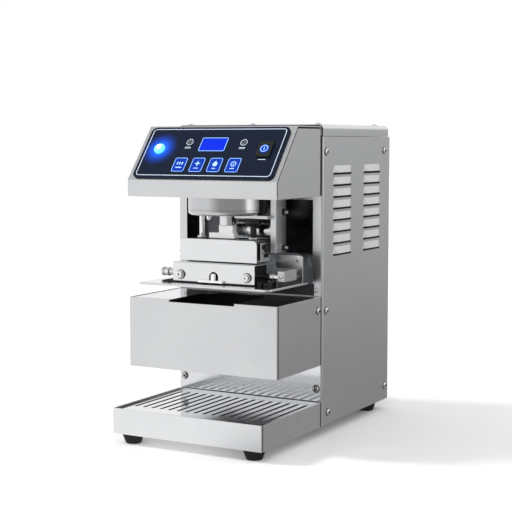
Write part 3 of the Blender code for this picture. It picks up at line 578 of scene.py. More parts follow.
# ---------------------------------------------------------------- column
LOUVRE_ROWS, LOUVRE_PITCH, LOUVRE_H, LOUVRE_PROUD = 8, 0.0154, 0.0092, 0.003
LOUVRE_TOP = HIGH["side_panel_right"].z - 0.0382
LOUVRE_BANKS = ((0.0285, 0.0895), (0.1245, 0.1855))
LOUVRE_STEPS = 6
LOUVRE_GAP = 0.0031                         # height of the open slot under each louvre
LOUVRE_TAPER, LOUVRE_HIP = 0.005, 0.007    # slope of the ends: at the sheet, up to the lip
EDGE_R = 0.0030


def side_panel(node, side):
    """One sheet with a rounded front edge and two banks of pressed louvres, open below."""
    low, high = LOW[node], HIGH[node]
    outer = SIDE_X
    across = [("edge", a) for a in range(0, 91, 6)]
    start = low.y + EDGE_R
    banks = []
    for near, far in LOUVRE_BANKS:
        first = len(across)
        steps = [LOUVRE_TAPER * k / LOUVRE_STEPS for k in range(LOUVRE_STEPS)]
        steps += [LOUVRE_TAPER + LOUVRE_HIP * k / LOUVRE_STEPS for k in range(LOUVRE_STEPS + 1)]
        ys = steps + [far - near - step for step in reversed(steps)]
        across += [("flat", FRONT_Y + near + y) for y in ys]
        banks.append((first, len(across) - 1))
    across.append(("flat", high.y))
    rows = [("plain", low.z)]
    louvres = []
    for row in reversed(range(LOUVRE_ROWS)):
        bottom = LOUVRE_TOP - row * LOUVRE_PITCH - LOUVRE_H
        rows.append(("plain", bottom - LOUVRE_GAP))
        first = len(rows)
        rows += [("plain", bottom + LOUVRE_H * k / LOUVRE_STEPS) for k in range(LOUVRE_STEPS + 1)]
        louvres.append((first, len(rows) - 1))
    rows.append(("plain", high.z))

    bm = bmesh.new()
    cache = {}

    def vertex(i, j, proud=0.0, lip=False):
        key = (i, j, lip)
        if key not in cache:
            kind, value = across[i]
            if kind == "edge":
                angle = math.radians(value)
                x = outer - EDGE_R + EDGE_R * math.sin(angle)
                y = low.y + EDGE_R - EDGE_R * math.cos(angle)
            else:
                x, y = outer + proud, value
            cache[key] = bm.verts.new((side * x, y, rows[j][1]))
        return cache[key]

    def scoop(i, j, bank, louvre):
        """The vertex of a louvre's own surface, at its place in the bank and down the scoop."""
        y = across[i][1]
        ends = min(y - across[bank[0]][1], across[bank[1]][1] - y)
        down = (rows[louvre[1]][1] - rows[j][1]) / LOUVRE_H
        end_wall = (ends - LOUVRE_TAPER * (1 - down)) / (LOUVRE_TAPER + LOUVRE_HIP)
        proud = LOUVRE_PROUD * max(0.0, min(down, end_wall))
        inside = bank[0] < i < bank[1] and j < louvre[1]
        return vertex(i, j, proud, lip=inside) if inside else vertex(i, j)

    for i in range(len(across) - 1):
        bank = next((b for b in banks if b[0] <= i < b[1]), None)
        for j in range(len(rows) - 1):
            louvre = next((l for l in louvres if l[0] <= j < l[1]), None)
            under = any(j == l[0] - 1 for l in louvres)
            if bank and under and bank[0] + LOUVRE_STEPS // 2 <= i < bank[1] - LOUVRE_STEPS // 2:
                continue
            if bank and louvre:
                corners = [scoop(a, b, bank, louvre) for a,
                    b in ((i, j), (i + 1, j), (i + 1, j + 1), (i, j + 1))]
            else:
                corners = [vertex(a, b) for a, b in ((i, j), (i + 1, j), (i + 1, j + 1),
                    (i, j + 1))]
            bm.faces.new(corners if side > 0 else list(reversed(corners)))
    panel = dress_mesh(node + "_skin", mesh_of(node + "_skin", bm), "steel_side", node, (node,),
        angle=7)
    thick = panel.modifiers.new("sheet", "SOLIDIFY")
    thick.thickness = 0.0012
    thick.offset = -1.0
    settle(panel, 7)
    foot = LOUVRE_TOP - (LOUVRE_ROWS - 1) * LOUVRE_PITCH - LOUVRE_H - 2 * LOUVRE_GAP
    # Black plates behind the louvre banks: painted shade, so the open slots read as the dark inside
    # of the column.
    for number, (near, far) in enumerate(LOUVRE_BANKS, start=1):
        x0, x1 = slab(side, outer - 0.0019, outer - 0.0014)
        plate("%s_slot_shade_screen_%d" % (node, number),
            rectangle((FRONT_Y + near, foot), (FRONT_Y + far, LOUVRE_TOP)), "x", x0, x1,
            "black_inside", node, bevel=0)


SIDE_SCREWS = ((0.0094, 0.3765), (0.1969, 0.3770), (0.0109, 0.1675), (0.2044, 0.0355),
    (0.0169, 0.0305))


def column():
    for node, side, heading in (("side_panel_left", -1, "-x"), ("side_panel_right", 1, "+x")):
        side_panel(node, side)
        for number, (back, z) in enumerate(SIDE_SCREWS, start=1):
            screw("%s_screw_%d" % (node, number), "pan", (side * SIDE_X, FRONT_Y + back, z),
                heading, node, "chrome", 25 * number)
    dress("base_plate", "steel_x")
    low, high = LOW["lower_panel"], HIGH["lower_panel"]
    plate("lower_panel_sheet", rectangle((low.x, low.z), (high.x, high.z)), "y", low.y, high.y,
        "mirror", "lower_panel", hides=("lower_panel",))
    dress("front_frame", "steel_x")
    # The recess liner's darkened steel is painted shade.
    dress("recess_liner", "recess_shade_steel")
    for side, tag in SIDES:
        screw("flange_screw_" + tag, "small_pan", (side * 0.1015, FRONT_Y, 0.1948), "-y",
            "front_frame", "zinc", 10)
        screw("lower_panel_screw_" + tag, "pan", (side * 0.1022, FRONT_Y, 0.0640), "-y",
            "lower_panel", "zinc", 35)
    top_cover()
    back_side()


def top_cover():
    """Lid with round bends at its sides and back, cut square at the front."""
    low, high, bend = LOW["top_cover"], HIGH["top_cover"], 0.0065
    bm = bmesh.new()
    add_block(bm, low, high)
    edges = []
    for edge in bm.edges:
        centre = (edge.verts[0].co + edge.verts[1].co) / 2
        on_top = centre.z > high.z - 1e-6
        at_side = abs(centre.x) > high.x - 1e-6
        at_back = centre.y > high.y - 1e-6
        if (on_top and (at_side or at_back)) or (at_side and at_back):
            edges.append(edge)
    bmesh.ops.bevel(bm, geom=edges, offset=bend, segments=9, profile=0.5, affect="EDGES")
    floor = [face for face in bm.faces if face.normal.z < -0.9]
    bmesh.ops.delete(bm, geom=floor, context="FACES")
    lid = piece("top_cover_skin", bm, "cover", "top_cover", ("top_cover",))
    thick = lid.modifiers.new("sheet", "SOLIDIFY")
    thick.thickness = SHEET
    thick.offset = -1.0
    add_bevel(lid, 0.0004, 2)
    inset, depth, wide = 0.0008, 0.0016, 0.013
    ring = rounded(rectangle((low.x + inset, low.z + inset), (high.x - inset, high.z - inset)),
        [0, 0, bend, bend], 9)
    hole = rectangle((low.x + wide, low.z + 2 * inset), (high.x - wide, high.z - 0.006))
    plate("cover_seal", ring, "y", FRONT_Y - depth, FRONT_Y - SEAM, "rubber", "top_cover", [hole],
        bevel=0.0002)
    for number in range(1, 5):
        node = "cover_screw_%d" % number
        at = (MIDDLE[node].x, MIDDLE[node].y, high.z)
        screw(node + "_head", "low_pan", at, "+z", node, "chrome", 30 * number, (node,))


def back_side():
    """Back panel with ring slots before the fan, the fan itself and the mains inlet."""
    low, high = LOW["back_panel"], HIGH["back_panel"]
    fan = (MIDDLE["fan_rotor"].x, MIDDLE["fan_rotor"].z)
    inlet = (MIDDLE["power_inlet"].x, MIDDLE["power_inlet"].z)
    holes = []
    for inner, outer in ((0.009, 0.0145), (0.0185, 0.024), (0.028, 0.0335)):
        for turn in range(4):
            first, last = 6 + 90 * turn, 84 + 90 * turn
            holes.append(arc(fan, outer, first, last, 18) + arc(fan, inner, last, first, 18))
    inlet_hole, fan_bolt, vent = (0.0284, 0.0210), 0.0355, (0.005, 0.016)
    holes.append(centred(inlet, inlet_hole))
    vent_z = low.z + 0.018
    for k in range(9):
        holes.append(rounded(centred((-0.085 + 0.012 * k, vent_z), vent), 0.0024, 5))
    plate("back_panel_skin", rectangle((low.x, low.z), (high.x, high.z)), "y", low.y, high.y,
        "steel_x", "back_panel", holes, ("back_panel",))
    for number, (x, z) in enumerate([(s * 0.101, z) for s in (-1, 1)
            for z in (0.03, 0.205, 0.382)], start=1):
        screw("back_screw_%d" % number, "low_pan", (x, high.y, z), "+y", "back_panel", "chrome",
            17 * number)
    for number, (dx, dz) in enumerate(((-1, -1), (-1, 1), (1, -1), (1, 1)), start=1):
        screw("fan_screw_%d" % number, "low_pan", (fan[0] + dx * fan_bolt, high.y,
            fan[1] + dz * fan_bolt), "+y", "back_panel", "black_oxide", 11 * number)
        if dz > 0:
            screw("inlet_screw_%d" % number, "small_pan",
                (inlet[0] + dx * 0.0195, BACK_Y + 0.0002, inlet[1]), "+y", "power_inlet", "zinc",
                40, size=0.9)
    dress("power_inlet", "black_plastic", 0.0003)
    fan_unit(fan)
    dress("power_supply", "aluminium", 0.0004)
    dress("control_board", "board", 0.0002)
    film_supply()


def fan_unit(fan):
    low, high = LOW["fan_frame"], HIGH["fan_frame"]
    outline = rounded(rectangle((low.x, low.z), (high.x, high.z)), 0.004, 5)
    plate("fan_frame_body", outline, "y", low.y, high.y, "black_plastic", "fan_frame",
        [circle(fan, 0.038, 72)], ("fan_frame",), bevel=0.0005)
    centre = MIDDLE["fan_rotor"]
    hub_r, tip_r, half = 0.018, 0.0362, 0.009
    bm = bmesh.new()
    add_turned(bm, softened(tube(0, hub_r, -half, half), 0.0015, 4), centre, "y", 60)
    for number in range(7):
        add_fan_blade(bm, centre, hub_r - 0.001, tip_r, 0.0068, math.tau * number / 7)
    piece("fan_rotor_body", bm, "black_plastic", "fan_rotor", ("fan_rotor",))


def add_fan_blade(bm, centre, root_r, tip_r, half_depth, start):
    """A thin blade, twisted less towards its tip and swept round the hub."""
    grid = []
    spans, chords, thick = 5, 6, 0.0005
    for i in range(spans + 1):
        t = i / spans
        radius = root_r + (tip_r - root_r) * t
        sweep = math.radians(24 - 4 * t)
        for j in range(chords + 1):
            u = 2 * j / chords - 1
            angle = start + sweep * u + 0.10 * (1 - u * u)
            depth = half_depth * u * (1 - 0.2 * t)
            grid.append((radius, angle, depth))
    layers = []
    for offset in (-thick, thick):
        layers.append([bm.verts.new(Vector(centre) + Vector((r * math.cos(a), d + offset,
            r * math.sin(a)))) for r, a, d in grid])
    width = chords + 1
    for i in range(spans):
        for j in range(chords):
            corner = i * width + j
            loop = [corner, corner + 1, corner + width + 1, corner + width]
            for layer in layers:
                bm.faces.new([layer[k] for k in loop])
    rim = list(range(width)) + [i * width + chords for i in range(1, spans + 1)]
    rim += [spans * width + j for j in reversed(range(chords))] + [i * width
        for i in reversed(range(1, spans))]
    for k, here in enumerate(rim):
        there = rim[(k + 1) % len(rim)]
        bm.faces.new([layers[0][here], layers[0][there], layers[1][there], layers[1][here]])


def film_supply():
    low, high = LOW["film_spindle"], HIGH["film_spindle"]
    at = (0, MIDDLE["film_spindle"].y, MIDDLE["film_spindle"].z)
    half, flange, shaft = high.x, 0.010, 0.005
    spindle = [(0, -half), (flange, -half), (flange, 0.003 - half), (shaft, 0.003 - half),
        (shaft, half - 0.003), (flange, half - 0.003), (flange, half), (0, half)]
    turned("film_spindle_body", spindle, at, "turned", "film_spindle", "x", ("film_spindle",))
    width, core, radius = 0.050, HIGH["film_roll"].x, (HIGH["film_roll"].z - LOW["film_roll"].z) / 2
    face = []
    for k in range(9):
        r = 0.018 + (radius - 0.018) * k / 8
        face.append((r, width - (0.0003 if k % 2 else 0.0)))
    roll = [(shaft + SEAM, -core), (0.016, -core), (0.016, -width)] + [(r, -x) for r, x in face]
    roll += [(r, x) for r, x in reversed(face)] + [(0.016, width), (0.016, core),
        (shaft + SEAM, core)]
    turned("film_roll_body", roll, at, "film", "film_roll", "x", ("film_roll",), 96, 0)


# ---------------------------------------------------------------- hood
LIP_H = 0.0216
INWARD = Vector(next(j for j in frame["joints"] if j["name"] == "key_1_press")["axis"])
SLANT_OUT = -INWARD.normalized()
SLANT_UP = SLANT_OUT.cross(Vector((1, 0, 0))).normalized()
SLANT_FOOT = Vector((0, LOW["hood_shell"].y, LOW["hood_shell"].z + LIP_H))
SLANT_LENGTH = (HIGH["hood_shell"].z - SLANT_FOOT.z) / SLANT_UP.z
HOOD_GAP, BOX_GAP = 0.0030, 0.0028         # dark joints between the front parts and the column
HOOD_SEAM = 0.0020                         # between the hood's folded front and its cheeks


def slant_matrix():
    matrix = Matrix([*zip((1, 0, 0), SLANT_UP, SLANT_OUT)]).to_4x4()
    matrix.translation = SLANT_FOOT
    return matrix


SLANT = slant_matrix()


def slant_point(across, up, out=0.0):
    return SLANT @ Vector((across, up, out))


LAMP_AT, SWITCH_AT = (-0.0785, 0.049), (0.0785, 0.048)
SWITCH_SIZE, LAMP_HOLE = (0.0166, 0.0196), 0.0080


def hood():
    low, high = LOW["hood_shell"], HIGH["hood_shell"]
    rear = high.y - HOOD_GAP
    head = SLANT_FOOT + SLANT_UP * SLANT_LENGTH
    path = [(low.y, low.z), (low.y, SLANT_FOOT.z), (head.y, head.z), (rear, high.z),
        (rear, high.z - 0.012)]
    outer = rounded(path, [0, 0.0022, 0.0022, 0.0042, 0], 6, closed=False)
    inner = rounded(offset_path(path, -SHEET), [0, 0.0010, 0.0010, 0.0027, 0], 6, closed=False)
    bm = bmesh.new()
    add_plate(bm, outer + inner[::-1], "x", -BODY_X, BODY_X)
    sheet = piece("hood_sheet", bm, "steel_x", "hood_shell", ("hood_shell",))
    tool = bmesh.new()
    add_plate(tool, circle(LAMP_AT, LAMP_HOLE, 48), SLANT, -0.004, 0.004)
    add_plate(tool, centred(SWITCH_AT, SWITCH_SIZE, SEAM), SLANT, -0.004, 0.004)
    carve(sheet, tool)
    add_bevel(sheet, 0.00025, 2)

    inside = offset_path(path, -SHEET - HOOD_SEAM)
    cheek = rounded([(inside[0][0], low.z), inside[1], inside[2], (rear - HOOD_SEAM, inside[3][1]),
        (rear - HOOD_SEAM, low.z)], [0, 0.0008, 0.0008, 0.0030, 0])
    backing = rounded([(low.y + SHEET, low.z + 0.001), *offset_path(path, -SHEET)[1:3],
        (rear - SHEET, high.z - SHEET), (rear - SHEET, low.z + 0.001)],
        [0, 0.0008, 0.0008, 0.0030, 0])
    for side, tag in SIDES:
        plate("hood_cheek_" + tag, cheek, "x", *slab(side, BODY_X - SHEET - SEAM, BODY_X - SEAM),
            "steel_y", "hood_shell", bevel=0.0002)
        plate("hood_backing_" + tag, backing, "x",
            *slab(side, BODY_X - SHEET - 0.0011, BODY_X - SHEET - 0.0005), "black_inside",
            "hood_shell", bevel=0)
    floor_low, floor_high = LOW["hood_floor"], HIGH["hood_floor"]
    press = (0, MIDDLE["ram"].y)
    plate("hood_floor_sheet", rectangle((floor_low.x, floor_low.y), (floor_high.x, floor_high.y)),
        "z", floor_low.z, floor_high.z, "steel_x", "hood_floor", [circle(press, 0.0520, 96)],
        ("hood_floor",), bevel=0.0003)
    gaskets("hood", low.z + 0.0006, high.z - 0.0030, rear, "hood_shell")
    control_panel()


KEY_SIZE, KEY_UP = (0.0167, 0.0203), 0.0237
KEY_ACROSS = (-0.0382, -0.0118, 0.0143, 0.0410)
DISPLAY_AT, DISPLAY_SIZE = (0.0, 0.0568), (0.0365, 0.0198)
INDICATORS = (("indicator_left", (-0.0365, 0.0605)), ("indicator_right", (0.0440, 0.0600)))
PANEL_BASE, PANEL_FACE = 0.0003, 0.0023
PRINT = 0.00012
PANEL_SIDE, PANEL_FOOT, PANEL_TOP = 0.1035, 0.0025, 0.0852
LINE_SIDE, LINE_FOOT, LINE_TOP = 0.0985, 0.0070, 0.0812


def add_band(bm, outline_of, inner, outer, low, high):
    """A flat ring between an outline and the same outline drawn larger."""
    add_plate(bm, outline_of(outer), SLANT, low, high, [outline_of(inner)])


def control_panel():
    outline = rounded(rectangle((-PANEL_SIDE, PANEL_FOOT), (PANEL_SIDE, PANEL_TOP)), 0.008, 8)
    holes = [circle(LAMP_AT, LAMP_HOLE, 64), centred(SWITCH_AT, SWITCH_SIZE, SEAM),
        rounded(centred(DISPLAY_AT, DISPLAY_SIZE), 0.001, 4)]
    holes += [circle(at, 0.0037, 48) for _, at in INDICATORS]
    holes += [rounded(centred((across, KEY_UP), KEY_SIZE), 0.0018, 5) for across in KEY_ACROSS]
    panel = plate("control_panel_body", outline, SLANT, PANEL_BASE, PANEL_FACE, "laminate",
        "control_panel", holes, ("control_panel",), bevel=0.0003)
    # The laminate gets a painted blue glow round the lamp.
    panel.data.materials[0] = laminate_with_painted_glow()

    bm = bmesh.new()
    face, top = PANEL_FACE, PANEL_FACE + PRINT
    add_band(bm, lambda g: rounded(rectangle((-LINE_SIDE - g, LINE_FOOT - g),
        (LINE_SIDE + g, LINE_TOP + g)), 0.004 + g, 6), 0.0, 0.0009, face, top)
    for _, at in INDICATORS:
        add_plate(bm, circle(at, 0.0049, 40), SLANT, face, top, [circle(at, 0.0042, 40)])
        add_plate(bm, centred((at[0], at[1] - 0.0085), (0.0085, 0.0009)), SLANT, face, top)
        add_plate(bm, centred((at[0], at[1] - 0.0102), (0.0085, 0.0005)), SLANT, face, top)
    add_plate(bm, centred((SWITCH_AT[0], SWITCH_AT[1] - 0.0150), (0.0110, 0.0009)), SLANT, face,
        top)
    piece("panel_print", bm, "print", "control_panel")

    bm = bmesh.new()
    for across in KEY_ACROSS:
        add_band(bm, lambda g, a=across: rounded(centred((a, KEY_UP), KEY_SIZE, g), 0.0018 + g, 5),
            0.0002, 0.0009, face, top)
    add_band(bm, lambda g: rounded(centred(DISPLAY_AT, DISPLAY_SIZE, g), 0.001 + g, 5), 0.0002,
        0.0010, face, top)
    piece("panel_lit_outlines", bm, "edge_light", "control_panel")

    plate("display_glass", rounded(centred(DISPLAY_AT, DISPLAY_SIZE, -SEAM), 0.0008, 4), SLANT,
        2 * SEAM, 0.0021, "screen", "display_window", hides=("display_window",), bevel=0.0002)
    for name, at in INDICATORS:
        lens = [(0, 0.0006), (0.0035, 0.0006), (0.0035, 0.0022), (0.0028, 0.0026), (0, 0.0028)]
        turned(name + "_lens", lens, slant_point(*at), "lens", name, SLANT, (name,), 48, 0.0002)
    keys()
    start_button()
    power_switch()


def laminate_with_painted_glow():
    """The panel's laminate with a painted blue glow round the lamp: an emission that fades with
    distance.
    """
    material = LOOK["laminate"].copy()
    tree = material.node_tree
    shader = tree.nodes["Principled BSDF"]
    place = add_node(tree, "TexCoord").outputs["Object"]
    away = add_node(tree, "VectorMath", operation="DISTANCE")
    away.inputs[1].default_value = slant_point(*LAMP_AT, PANEL_FACE)
    link(tree, place, away.inputs[0])
    fade = ranged(tree, away.outputs["Value"], 1.0, 0.0, 0.0060, 0.0290)
    curve = add_node(tree, "Math", {1: 2.2}, operation="POWER")
    link(tree, fade, curve.inputs[0])
    colour = blend_colour(tree, curve.outputs[0], (0.0, 0.0, 0.0, 1.0), (0.01, 0.12, 1.0, 1.0))
    link(tree, colour, shader.inputs["Emission Color"])
    shader.inputs["Emission Strength"].default_value = 1.7
    return material


def keys():
    top = 0.0024
    for number, across in enumerate(KEY_ACROSS, start=1):
        node = "key_%d" % number
        low = PANEL_BASE + 0.0008
        plate(node + "_cap", rounded(centred((across, KEY_UP), KEY_SIZE, -SEAM), 0.0016, 5), SLANT,
            low, top, "key_blue", node, hides=(node,), bevel=0.0002)
        bm = bmesh.new()
        KEY_SYMBOLS[number - 1](bm, across, top, top + PRINT)
        piece(node + "_symbol", bm, "icon", node)


def symbol_bars(bm, across, low, high):
    add_plate(bm, centred((across, KEY_UP - 0.0045), (0.0090, 0.0016)), SLANT, low, high)
    for dx in (-0.0035, 0.0, 0.0035):
        add_plate(bm, centred((across + dx, KEY_UP + 0.0022), (0.0018, 0.0040)), SLANT, low, high)


def symbol_star(bm, across, low, high):
    centre = (across, KEY_UP + 0.0020)
    points = []
    for k in range(8):
        radius = 0.0046 if k % 2 == 0 else 0.0016
        angle = math.tau * k / 8
        points.append((centre[0] + radius * math.cos(angle), centre[1] + radius * math.sin(angle)))
    add_plate(bm, points, SLANT, low, high)
    add_plate(bm, centred((across, KEY_UP - 0.0055), (0.0070, 0.0012)), SLANT, low, high)


def symbol_drop(bm, across, low, high):
    centre = (across, KEY_UP + 0.0012)
    outline = arc(centre, 0.0034, -215, 35, 16)
    outline.append((across, KEY_UP + 0.0066))
    add_plate(bm, outline, SLANT, low, high)
    add_plate(bm, rounded(centred((across, KEY_UP - 0.0056), (0.0056, 0.0014)), 0.0006, 3), SLANT,
        low, high)


def symbol_ring(bm, across, low, high):
    centre = (across, KEY_UP + 0.0018)
    add_plate(bm, circle(centre, 0.0040, 28), SLANT, low, high, [circle(centre, 0.0029, 28)])
    add_plate(bm, centred(centre, (0.0010, 0.0034)), SLANT, low, high)
    add_plate(bm, rounded(centred((across, KEY_UP - 0.0054), (0.0064, 0.0014)), 0.0006, 3), SLANT,
        low, high)


KEY_SYMBOLS = (symbol_bars, symbol_star, symbol_drop, symbol_ring)


def start_button():
    """Glowing dome in a bright ring, with a hot core under its lens."""
    seat, radius, dome_h = 0.0030, 0.0077, 0.0036
    profile = [(0, -0.003), (0.005, -0.003), (0.005, seat - 0.0020), (radius, seat - 0.0020)]
    profile += dome(radius, seat + 0.0006, dome_h, 6) + [(0, seat + 0.0006 + dome_h)]
    turned("start_button_dome", profile, slant_point(*LAMP_AT), "lamp", "start_button", SLANT,
        ("start_button",), 72, 0)
    core = [(0, seat + dome_h + 0.0004), (0.0044, seat + dome_h - 0.0008),
        (0.0040, seat + dome_h + 0.0000), (0.0022, seat + dome_h + 0.0010),
        (0, seat + dome_h + 0.0013)]
    turned("start_button_core", core, slant_point(LAMP_AT[0] + 0.0002, LAMP_AT[1] + 0.0004,
        -0.0001), "lamp_core", "start_button", SLANT, (), 32, 0)


def power_switch():
    """Square black switch with a round lit cap, its ring and its stroke."""
    seat, top = PANEL_FACE + SEAM, PANEL_FACE + SEAM + 0.0022
    bm = bmesh.new()
    body = circle(SWITCH_AT, 0.0068, 48)
    flange = rounded(centred(SWITCH_AT, (0.0196, 0.0232)), 0.0012, 5)
    add_plate(bm, flange, SLANT, seat, top, [body])
    piece("switch_bezel_body", bm, "black_plastic", "switch_bezel", ("switch_bezel",),
        bevel=0.0004, segments=3)
    bm = bmesh.new()
    add_plate(bm, centred(SWITCH_AT, SWITCH_SIZE), SLANT, -0.012, seat - 0.0002, [body])
    piece("switch_housing", bm, "black_plastic", "switch_bezel", bevel=0.0002)
    cap = [(0, -0.0065), (0.0064, -0.0065), (0.0064, 0.0050), (0.0058, 0.0056), (0, 0.0056)]
    turned("switch_cap_body", cap, slant_point(*SWITCH_AT), "key_blue", "switch_cap", SLANT,
        ("switch_cap",), 48)
    bm = bmesh.new()
    add_plate(bm, circle(SWITCH_AT, 0.0054, 40), SLANT, 0.0056, 0.0057,
        [circle(SWITCH_AT, 0.0044, 40)])
    add_plate(bm, centred(SWITCH_AT, (0.0012, 0.0052)), SLANT, 0.0056, 0.0057)
    piece("switch_cap_marks", bm, "edge_light", "switch_cap")


# ---------------------------------------------------------------- press
PRESS = Vector((0, MIDDLE["ram"].y, 0))
ROD_X = MIDDLE["guide_rod_right"].x


def press_drive():
    low, high = LOW["drive_housing"], HIGH["drive_housing"]
    radius, wall, floor, lip = 0.0515, 0.002, 0.003, 0.0045
    rounding = [(radius - lip + lip * math.sin(math.radians(a)),
        low.z + lip - lip * math.cos(math.radians(a))) for a in range(0, 91, 10)]
    flange = HIGH["hood_floor"].z + SEAM
    profile = [(0.0113, low.z + floor), (0.0113, low.z), *rounding, (radius, low.z + 0.0062),
        (radius - 0.0005, low.z + 0.0066), (radius - 0.0005, low.z + 0.0072),
        (radius, low.z + 0.0076), (radius, flange), (radius + 0.003, flange),
        (radius + 0.003, flange + 0.002), (radius, flange + 0.002), (radius, high.z),
        (radius - wall, high.z), (radius - wall, low.z + floor)]
    drum = turned("drive_housing_body", profile, PRESS, "drum", "drive_housing", "z",
        ("drive_housing",), 128, 0)
    tool = bmesh.new()
    for side in (-1, 1):
        add_plate(tool, circle((side * ROD_X, PRESS.y), 0.0047, 36), "z", low.z - 0.01,
            low.z + 0.01)
    carve(drum, tool)
    drum.data.set_sharp_from_angle(angle=math.radians(32))

    base = LOW["press_motor"].z
    motor = [(0, base), (radius, base), (radius, base + 0.003), (0.0215, base + 0.003),
        (0.0215, base + 0.030), (0.0200, base + 0.0315), (0, base + 0.0315)]
    turned("press_motor_body", motor, PRESS, "aluminium", "press_motor", "z", ("press_motor",))
    lead_low, lead_high = LOW["lead_screw"].z, HIGH["lead_screw"].z
    root, crest, pitch, cap = 0.0035, 0.0040, 0.002, 0.0065
    thread = [(0, lead_low), (0.0034, lead_low)]
    turns = int((lead_high - 0.006 - lead_low) / pitch)
    for k in range(turns):
        thread += [(r, lead_low + pitch * (k + t)) for r,
            t in ((crest, 0.35), (crest, 0.6), (root, 0.95))]
    thread += [(crest, lead_high - 0.0052), (crest, lead_high - 0.0040), (cap, lead_high - 0.0040),
        (cap, lead_high), (0, lead_high)]
    turned("lead_screw_body", thread, PRESS, "turned", "lead_screw", "z", ("lead_screw",), 40, 0)
    nut_at = Vector((-0.0280, PRESS.y, low.z))
    bm = bmesh.new()
    add_turned(bm, [(0, 0.0), (0.0050, 0.0), (0.0050, -0.0010), (0.0042, -0.0012),
        (0.0042, -0.0060), *dome(0.0036, -0.0062, -0.0036, 15), (0, -0.0098)], nut_at, "z", 36)
    piece("drum_nut", bm, "chrome", "drive_housing")


def press_head():
    ram_low, ram_high = LOW["ram"].z, HIGH["ram"].z
    bore_low = ram_low + 0.0117
    ram = [(0, ram_low), (0.011, ram_low), (0.011, ram_high), (0.0043, ram_high),
        (0.0043, bore_low), (0, bore_low)]
    turned("ram_body", ram, PRESS, "turned", "ram", "z", ("ram",), 96, 0.0004)
    for tag, look in (("left", "chrome"), ("right", "black_oxide")):
        node = "guide_rod_" + tag
        rod = tube(0, 0.0042, LOW[node].z, HIGH[node].z)
        turned(node + "_body", rod, (MIDDLE[node].x, PRESS.y, 0), look, node, "z", (node,), 48,
            0.0008)
        turned(node + "_collar", tube(0.0043, 0.0066, 0, 0.0022),
            (MIDDLE[node].x, PRESS.y, LOW[node].z), "zinc", node, "z", (), 48, 0.0003)
    dress("insulator_block", "white_plastic", 0.0007, 3)
    dress("heater_block", "satin", 0.0005, 3)
    heater_fittings()
    heater_cover()


def folded_cover(name, node, notch, look, bend=0.0016):
    """Front plate bent over into a top flange, with a notch in its lower edge."""
    low, high, sheet = LOW[node], HIGH[node], 0.0013
    path = [(low.y, low.z), (low.y, high.z), (high.y, high.z)]
    outer = rounded(path, [0, bend, 0], 6, closed=False)
    inner = rounded(offset_path(path, -sheet), [0, 0.0005, 0], 6, closed=False)
    bm = bmesh.new()
    add_plate(bm, outer + inner[::-1], "x", low.x, high.x)
    cover = piece(name, bm, look, node, (node,))
    tool = bmesh.new()
    add_plate(tool, notch, "y", low.y - 0.004, low.y + 0.004)
    carve(cover, tool)
    add_bevel(cover, 0.0002, 2)
    return cover


def heater_cover():
    """Round-cornered face plate on a black spacer, with the inset top flange behind it."""
    node = "heater_cover"
    low, high, corner, gap = LOW[node], HIGH[node], 0.0052, 0.0009
    face = rounded(rectangle((low.x, low.z), (high.x, high.z)), [0, 0, corner, corner], 8)
    spacer = rounded(rectangle((low.x + gap, low.z + gap), (high.x - gap, high.z - gap)),
        [0, 0, corner, corner], 8)
    plate("heater_cover_sheet", face, "y", low.y, low.y + SHEET, "polished", node, hides=(node,),
        bevel=0.0004)
    plate("heater_spacer", spacer, "y", low.y + SHEET, low.y + SHEET + gap, "black_plastic", node,
        bevel=0.0001)
    block("heater_top_flange", (low.x + corner, low.y + SHEET + gap, high.z - gap - SHEET),
        (high.x - corner, high.y, high.z - gap), "steel_x", node, bevel=0.0003)


def heater_fittings():
    """Cartridge heater ends and a terminal on the heater block."""
    low, high = LOW["heater_block"], HIGH["heater_block"]
    deep, tall = high.y - low.y, high.z - low.z
    notches = ((0.16, 0.52, 0.66, 0.90), (0.46, 0.62, 0.50, 0.66), (0.40, 0.84, 0.22, 0.42))
    for number, (y0, y1, z0, z1) in enumerate(notches, start=1):
        block("heater_clip_%d" % number, (high.x - 0.0002, low.y + deep * y0, low.z + tall * z0),
            (high.x + 0.0009, low.y + deep * y1, low.z + tall * z1), "black_inside",
            "heater_block", bevel=0.0002)
    left = Vector((low.x, (low.y + high.y) / 2, low.z + 0.009))
    block("heater_terminal", left + Vector((-0.0120, -0.0045, -0.0045)),
        left + Vector((-0.0003, 0.0045, 0.0045)), "white_plastic", "heater_block", bevel=0.0006)
    for number, dy in enumerate((-0.0022, 0.0022), start=1):
        turned("terminal_stud_%d" % number, tube(0, 0.0014, 0, 0.0030),
            left + Vector((-0.0148, dy, 0.0)), "chrome", "heater_block", "x", (), 24, 0.0002)


